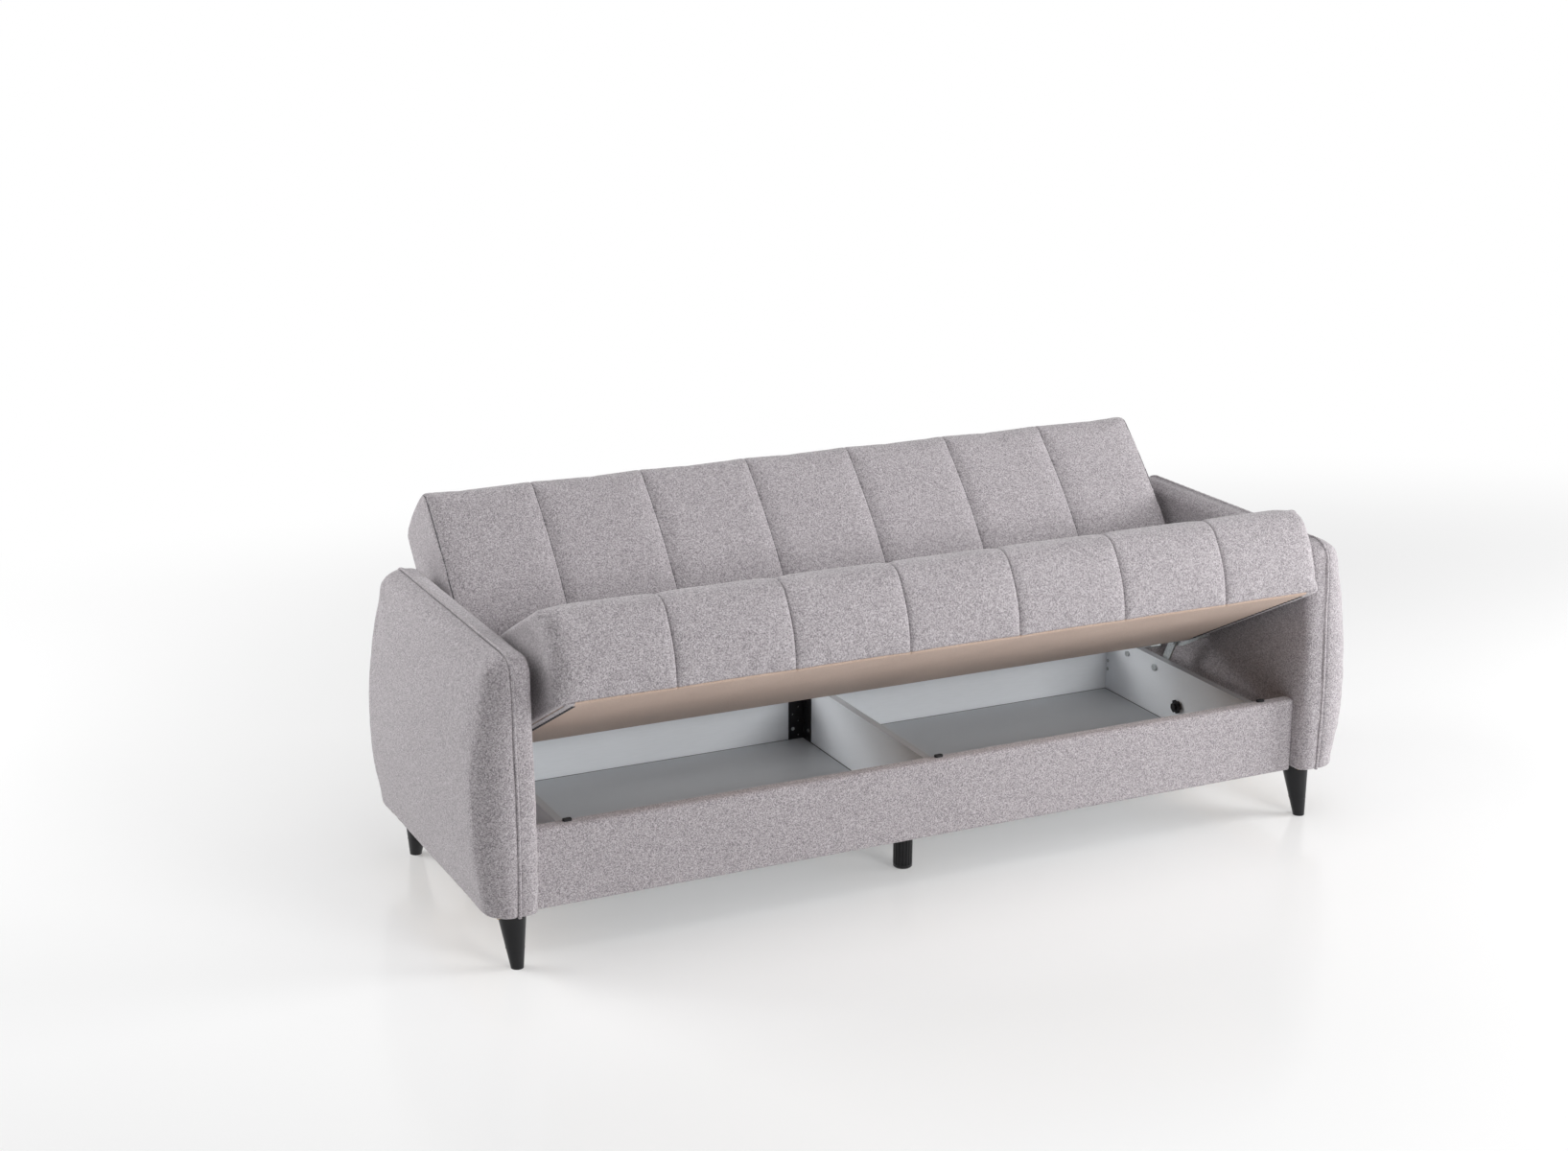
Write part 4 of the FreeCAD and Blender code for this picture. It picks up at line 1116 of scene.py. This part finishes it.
def back_rear(middles):
    inside = (middles[:, 2] > BACK_LINING_LOW) & (middles[:, 2] < BACK_LINING_HIGH)
    at_rear = middles[:, 1] > BACK_THICKNESS - BACK_REAR_INSET - MM
    return inside & at_rear & (abs(middles[:, 0]) < BACK_LINING_HALF)


back_cover = core("back_cover", back_outline(SWELL), off_the_frame)
sew(back_cover, SEAM_DEPTH, off_the_frame)
sew(back_cover, END_SEAM_DEPTH, off_the_frame, end_seams, END_CREASE_HALF)
marked(back_cover, back_rear)
swell(back_cover, SWELL_MOST)
clothe(back_cover)
thread(back_cover, "back_seams", (*seams, *end_seams), off_the_frame, "back", back_place)
print("back cover", len(back_cover.data.polygons), "faces")

# %% [markdown]
# A cover of the seat's brown lining closes the back's frame from behind. It is a second layer
# again, smaller than the rear, so the upholstery's edge shows all round it and no hem is split off.

# %% Back lining
back_lining = second_layer(
    back_cover, "back_lining_cloth", lift=1.2 * MM, thickness=1.0 * MM, material=lining)
for made in (back_cover, back_lining):
    stand(made, back_place)
declared(back_cover, "back", node="back_cushion")
declared(back_lining, "back", "back_rear_cover")
print("back lining", len(back_lining.data.polygons), "faces")

# %% [markdown]
# Each arm is two pads on a core board: a flat inner pad with a rounded free edge, and a puffed
# outer pad. Seen from the side, both have one outline, which is bowed and narrows to the top at
# both ends.

# %% Arm outline
ARM_HALF = 385.5 * MM
ARM_BOW = 5 * MM
ARM_NARROWS = 18 * MM
ARM_CORNER = 48 * MM
arm_low, arm_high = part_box("arm_inner_pad_right")
ARM_MIDDLE = (arm_low.y + arm_high.y) / 2
ARM_BOTTOM = arm_low.z
ARM_TOP = arm_high.z


def arm_outline(inset):
    """The arm seen from the side, the same at both ends, with a straight bottom."""
    front = ARM_MIDDLE - ARM_HALF + inset
    front_top = front + ARM_NARROWS
    top = ARM_TOP - inset
    bottom = ARM_BOTTOM + MM
    corner_z = top - ARM_CORNER
    slope = math.sqrt(0.5) * ARM_CORNER
    bow = (front - ARM_BOW, (bottom + corner_z) / 2)
    corner_start = (front_top, corner_z)
    corner_middle = (front_top + ARM_CORNER - slope, corner_z + slope)
    corner_end = (front_top + ARM_CORNER, top)

    def back(point):
        return (2 * ARM_MIDDLE - point[0], point[1])

    steps = [
        [bow, corner_start],
        [corner_middle, corner_end],
        [back(corner_end)],
        [back(corner_middle), back(corner_start)],
        [back(bow), back((front, bottom))],
    ]
    return outline((front, bottom), steps, count=9)


print("arm outline has", len(arm_outline(0)), "points")

# %% [markdown]
# An arm with that outline alone looks too round at the top. So the points near its upper corners
# are moved out by a smooth step in both directions, which makes the corners squarer.

# %% Arm corners
CORNER_OUT = 11 * MM
CORNER_DROP = 190 * MM
CORNER_DROP_EASE = 130 * MM
CORNER_REACH = 230 * MM
CORNER_REACH_EASE = 110 * MM


def eased(value, start, length):
    """0 up to start, 1 from start + length on, and a smooth rise between."""
    share = np.clip((value - start) / length, 0, 1)
    return share * share * (3 - 2 * share)


def squared_up(points):
    """Moves the arm's upper front and rear out a little, so that its top corners are squarer."""
    out = np.array(points, dtype=float)
    away = out[:, -2] - ARM_MIDDLE
    high = eased(out[:, -1], ARM_TOP - CORNER_DROP, CORNER_DROP_EASE)
    far = eased(abs(away), CORNER_REACH, CORNER_REACH_EASE)
    out[:, -2] += np.sign(away) * CORNER_OUT * high * far
    return out


print("the corners move out by up to", CORNER_OUT / MM, "mm")

# %% [markdown]
# The inner pad is the outline pulled out by its thickness, from the arm's seam towards the bed,
# with its free edge bevelled round. It stops a little short of the seam, where the piping lies.

# %% Inner pad
ARM_SWELL = 3.5 * MM
ARM_SLAB = 49 * MM
ARM_EDGE_ROUND = 22 * MM
ARM_EDGE_FOOT = 10 * MM
SEAM_X = HALF_BED + ARM_SLAB
FREE_X = HALF_BED + ARM_SWELL


def free_edge(middles):
    return (abs(middles[:, 0] - FREE_X) < MM) & (middles[:, 2] > ARM_BOTTOM + ARM_EDGE_FOOT)


def pad_from_outline(name, points):
    start = SEAM_X - MM
    piece = pulled_out(name, points, start, FREE_X - start)
    choose(piece, "edges", free_edge)
    bpy.ops.mesh.bevel(offset=ARM_EDGE_ROUND, segments=5, profile=0.5, affect="EDGES")
    bpy.ops.object.mode_set(mode="OBJECT")
    return piece


print("the arms' seam lies at x", round(SEAM_X, 3), "m")

# %% [markdown]
# The outer pad swells in all directions, which no outline gives. The frame already has its form,
# so a copy of that part is merged, because its triangles are loose, and drawn in by a little.

# %% Outer pad
ARM_INSET = 1.5 * MM
MERGE_DISTANCE = 0.05 * MM


def copy_of(source, name):
    """A copy with its own mesh, alone in the selection."""
    piece = bpy.data.objects.new(name, source.data.copy())
    bpy.context.scene.collection.objects.link(piece)
    piece.data.name = name
    alone(piece)
    return piece


def pad_from_frame(name, node):
    """A merged copy of a part of the frame, drawn in so that it can swell."""
    piece = copy_of(frame["nodes"][node], name)
    bpy.ops.object.mode_set(mode="EDIT")
    bpy.ops.mesh.select_mode(type="VERT")
    bpy.ops.mesh.select_all(action="SELECT")
    bpy.ops.mesh.remove_doubles(threshold=MERGE_DISTANCE)
    outwards()
    bpy.ops.transform.shrink_fatten(value=-ARM_INSET, use_even_offset=True)
    bpy.ops.object.mode_set(mode="OBJECT")
    return piece


print("pads are drawn in by", ARM_INSET / MM, "mm")

# %% [markdown]
# Both pads are then squared up, remeshed, held at the bottom and along the seam between them, and
# swell everywhere else, which leaves the shallow groove that the piping lies in.

# %% Finishing a pad
ARM_VOXEL = 9.5 * MM


def pad_finished(piece, held_test):
    """Remeshes a pad, holds it where the test says, lets it swell, and clothes it."""
    piece.data.vertices.foreach_set("co", squared_up(places(piece)).ravel())
    piece.data.remesh_voxel_size = ARM_VOXEL
    bpy.ops.object.voxel_remesh()
    hold(piece, held_test(places(piece)))
    swell(piece, ARM_SWELL)
    clothe(piece, cloth)
    print(piece.name, len(piece.data.polygons), "faces")


print("arm voxel", ARM_VOXEL / MM, "mm")

# %% [markdown]
# The right arm is made, and the left arm is its mirrored copy. A Mirror modifier would join both
# arms in one piece, and they are two. A mirror turns a mesh inside out, so its faces are turned
# back.

# %% Both arms
INNER_HELD = 4 * MM
OUTER_HELD = 6 * MM


def mirrored(piece, name):
    """A copy on the other side of the sofa, turned right side out."""
    other = copy_of(piece, name)
    bpy.ops.transform.mirror(constraint_axis=(True, False, False), center_override=(0, 0, 0))
    bpy.ops.object.transform_apply(location=True, rotation=True, scale=True)
    bpy.ops.object.mode_set(mode="EDIT")
    outwards()
    bpy.ops.object.mode_set(mode="OBJECT")
    return other


def inner_held(points):
    return (points[:, 0] > SEAM_X - INNER_HELD) | (points[:, 2] < ARM_BOTTOM + INNER_HELD)


def outer_held(points):
    return (points[:, 0] < SEAM_X + OUTER_HELD) | (points[:, 2] < ARM_BOTTOM + OUTER_HELD)


inner = pad_from_outline("arm_inner_cover_right", arm_outline(ARM_INSET))
pad_finished(inner, inner_held)
outer = pad_from_frame("arm_outer_cover_right", "arm_outer_pad_right")
pad_finished(outer, outer_held)
for right, layer_name in ((inner, "arm_inner_"), (outer, "arm_outer_")):
    declared(right, "base", node=layer_name + "pad_right")
    left = mirrored(right, layer_name + "cover_left")
    declared(left, "base", node=layer_name + "pad_left")
    print("mirrored", left.name)

# %% [markdown]
# The piping is a cord in a strip of the same cloth, sewn into the seam between the two pads. Its
# route is the arm's outline once more, left open at the bottom and divided into short steps.

# %% Piping route
PIPING_INSET = 2.8 * MM
PIPING_X = SEAM_X + 0.2 * MM
PIPING_STEP = 6 * MM


def piping_route():
    """The arm's outline from the front bottom to the rear bottom, in short even steps."""
    points = [Vector((PIPING_X, y, z)) for y, z in squared_up(arm_outline(PIPING_INSET))]
    fine = []
    for here, there in zip(points, points[1:]):
        count = max(1, round((there - here).length / PIPING_STEP))
        fine += [here.lerp(there, step / count) for step in range(count)]
    return fine + [points[-1]]


route = piping_route()
print("piping runs through", len(route), "points")

# %% [markdown]
# The cord is a curve along that route with a round bevel, which keeps it round in every turn, as
# a bent cylinder wouldn't be. Its cloth puckers a little between the stitches, so the curve's own
# radius rises and falls along it.

# %% Piping
PIPING_RADIUS = 4.0 * MM
PUCKER = 0.07
PUCKER_LENGTH = 23 * MM

fresh()
bpy.ops.curve.primitive_nurbs_path_add(location=(0, 0, 0))
piping = bpy.context.active_object
piping.name = "arm_piping_cord_right"
spline = piping.data.splines[0]
spline.points.add(len(route) - len(spline.points))
for number, (point, where) in enumerate(zip(spline.points, route)):
    point.co = (*where, 1)
    point.radius = 1 + PUCKER * math.sin(number * PIPING_STEP * math.tau / PUCKER_LENGTH)
spline.order_u = 3
spline.use_endpoint_u = True
spline.resolution_u = 2
piping.data.bevel_depth = PIPING_RADIUS
piping.data.bevel_resolution = 3
piping.data.use_fill_caps = True
bpy.ops.object.convert(target="MESH")
piping = bpy.context.active_object
piping.data.name = piping.name
clothe(piping, cloth, smooth_level=0)
declared(piping, "base", node="arm_piping_right")
declared(mirrored(piping, "arm_piping_cord_left"), "base", node="arm_piping_left")
print("piping", len(piping.data.polygons), "faces")

# %% [markdown]
# The front rail is a board in a thin padded cover that wraps over its top and bottom edges and
# ends behind them. A section through the cover is a long hook at each end, so it is drawn as one
# outline: round the front of the padding, and back along the board.

# %% Rail section
RAIL_ROUND = 9 * MM
RAIL_BOW = 1.2 * MM
RAIL_FIT = 0.3 * MM
RAIL_INSET = 0.4 * MM
rail_low, rail_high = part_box("front_rail_cover")
board_low, board_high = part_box("front_rail_board")


def rail_outline():
    front, rear = rail_low.y + 2 * RAIL_INSET, rail_high.y
    top, bottom = rail_high.z - RAIL_INSET, rail_low.z + RAIL_INSET
    turn = RAIL_ROUND * math.sqrt(0.5)
    inner_front = board_low.y - RAIL_FIT
    inner_bottom, inner_top = board_low.z - RAIL_FIT, board_high.z + RAIL_FIT
    steps = [
        [(front + RAIL_ROUND, top)],
        [(front + RAIL_ROUND - turn, top - RAIL_ROUND + turn), (front, top - RAIL_ROUND)],
        [(front - RAIL_BOW, (top + bottom) / 2), (front, bottom + RAIL_ROUND)],
        [(front + RAIL_ROUND - turn, bottom + RAIL_ROUND - turn), (front + RAIL_ROUND, bottom)],
        [(rear, bottom)],
        [(rear, inner_bottom)],
        [(inner_front, inner_bottom)],
        [(inner_front, inner_top)],
        [(rear, inner_top)],
    ]
    return outline((rear, top), steps, count=8)


print("rail section has", len(rail_outline()), "points")

# %% [markdown]
# The section is pulled out between the arms. Cuts along it give a displacement room to work, which
# makes the stretched cloth a little uneven. Its sharp inner corners stay sharp when it is smoothed.

# %% Rail cover
RAIL_CUTS = 75
RUFFLE_SIZE = 0.16
RUFFLE_HEIGHT = 1.0 * MM
SMOOTH_ANGLE = math.radians(40)


def ruffled(piece, size, height):
    """Moves the surface in and out by a slow noise, as cloth that is stretched by hand."""
    texture = bpy.data.textures.new(piece.name, "CLOUDS")
    texture.noise_scale = size
    texture.noise_depth = 2
    ruffle = piece.modifiers.new("ruffle", "DISPLACE")
    ruffle.texture = texture
    ruffle.texture_coords = "LOCAL"
    ruffle.strength = height
    bpy.ops.object.modifier_apply(modifier="ruffle")


rail_length = 2 * HALF_BED - 2 * RAIL_FIT
rail_cover = pulled_out("front_rail_cloth", rail_outline(), -HALF_BED + RAIL_FIT, rail_length)
for cut in range(1, RAIL_CUTS):
    x = -HALF_BED + 2 * HALF_BED * cut / RAIL_CUTS
    bpy.ops.mesh.select_all(action="SELECT")
    bpy.ops.mesh.bisect(plane_co=(x, 0, 0), plane_no=(1, 0, 0))
bpy.ops.object.mode_set(mode="OBJECT")
ruffled(rail_cover, RUFFLE_SIZE, RUFFLE_HEIGHT)
clothe(rail_cover, cloth, smooth_level=0)
bpy.ops.object.shade_smooth_by_angle(angle=SMOOTH_ANGLE)
declared(rail_cover, "base", node="front_rail_cover")
print("rail cover", len(rail_cover.data.polygons), "faces")

# %% [markdown]
# Dark stitches hold the seat's lining along its hems. Dots in the finish would lie flat, and real
# stitches stand up and cast a shadow. They are drawn larger and darker than thread, so that they
# also stand for the painted shade of the gap under the lining's edge. One is a small flattened
# ball, an array repeats it from the front to the rear, and the row is copied to the other end.

# %% Lining stitches
STITCH_LENGTH = 9 * MM
STITCH_WIDTH = 11 * MM
STITCH_THICKNESS = 4.0 * MM
STITCH_STEP = 15 * MM
STITCH_X = CUSHION_HALF - HEM_WIDTH
STITCH_HEIGHT = 0.9 * MM
STITCH_START = 30 * MM
STITCH_END = SEAT_DEPTH - 40 * MM
# Painted shade: the stitches are nearly black and wide, and also stand for the gap's shade.
stitch_and_gap_shade = black_satin(
    "stitch_and_gap_shade", tone=0.04, roughness=0.7, grain_scale=900.0, depth=0.05 * MM)

fresh()
bpy.ops.mesh.primitive_uv_sphere_add(segments=8, ring_count=6, radius=0.5)
stitches = bpy.context.active_object
stitches.name = stitches.data.name = "lining_stitches_and_gap_shade"
stitches.scale = (STITCH_WIDTH, STITCH_LENGTH, STITCH_THICKNESS)
stitches.location = (STITCH_X, STITCH_START, STITCH_HEIGHT)
bpy.ops.object.transform_apply(location=True, rotation=True, scale=True)
row = stitches.modifiers.new("row", "ARRAY")
row.use_relative_offset = False
row.use_constant_offset = True
row.constant_offset_displace = (0, STITCH_STEP, 0)
row.count = int((STITCH_END - STITCH_START) / STITCH_STEP)
bpy.ops.object.modifier_apply(modifier="row")
bpy.ops.object.mode_set(mode="EDIT")
bpy.ops.mesh.select_all(action="SELECT")
bpy.ops.mesh.duplicate()
bpy.ops.transform.translate(value=(-2 * STITCH_X, 0, 0))
bpy.ops.object.mode_set(mode="OBJECT")
bpy.ops.object.shade_smooth()
coat(stitches, stitch_and_gap_shade)
stand(stitches, seat_place)
declared(stitches, "seat")
print("stitches", len(stitches.data.polygons), "faces")

# %% [markdown]
# A fine ring runs round each leg, low on the moulded cone. The legs come from the frame and are
# left as they are, so the ring is a thin torus laid on the cone. They are splayed from front to
# rear, so the ring's radius and its place both come from its height.

# %% Leg rings
RING_HEIGHT = 42 * MM
RING_RADIUS = 0.55 * MM
RING_SUNK = 0.1 * MM
LEG_FOOT_RADIUS = 13.8 * MM
LEG_TOP_RADIUS = 32.5 * MM
LEG_SPLAY = 28 * MM


def leg_ring(end, side):
    low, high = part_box("leg_" + end + "_" + side)
    share = RING_HEIGHT / (high.z - low.z)
    radius = LEG_FOOT_RADIUS + (LEG_TOP_RADIUS - LEG_FOOT_RADIUS) * share
    if end == "front":
        y = low.y + LEG_FOOT_RADIUS + LEG_SPLAY * share
    else:
        y = high.y - LEG_FOOT_RADIUS - LEG_SPLAY * share
    fresh()
    bpy.ops.mesh.primitive_torus_add(
        location=((low.x + high.x) / 2, y, RING_HEIGHT),
        major_radius=radius - RING_SUNK, minor_radius=RING_RADIUS,
        major_segments=48, minor_segments=8,
    )
    ring = bpy.context.active_object
    ring.name = ring.data.name = "leg_ring_" + end + "_" + side
    bpy.ops.object.transform_apply(location=True, rotation=True, scale=True)
    bpy.ops.object.shade_smooth()
    coat(ring, black_plastic)
    declared(ring, "base")
    print(ring.name, round(2 * radius / MM, 1), "mm across")


for end in ("front", "rear"):
    for side in ("left", "right"):
        leg_ring(end, side)
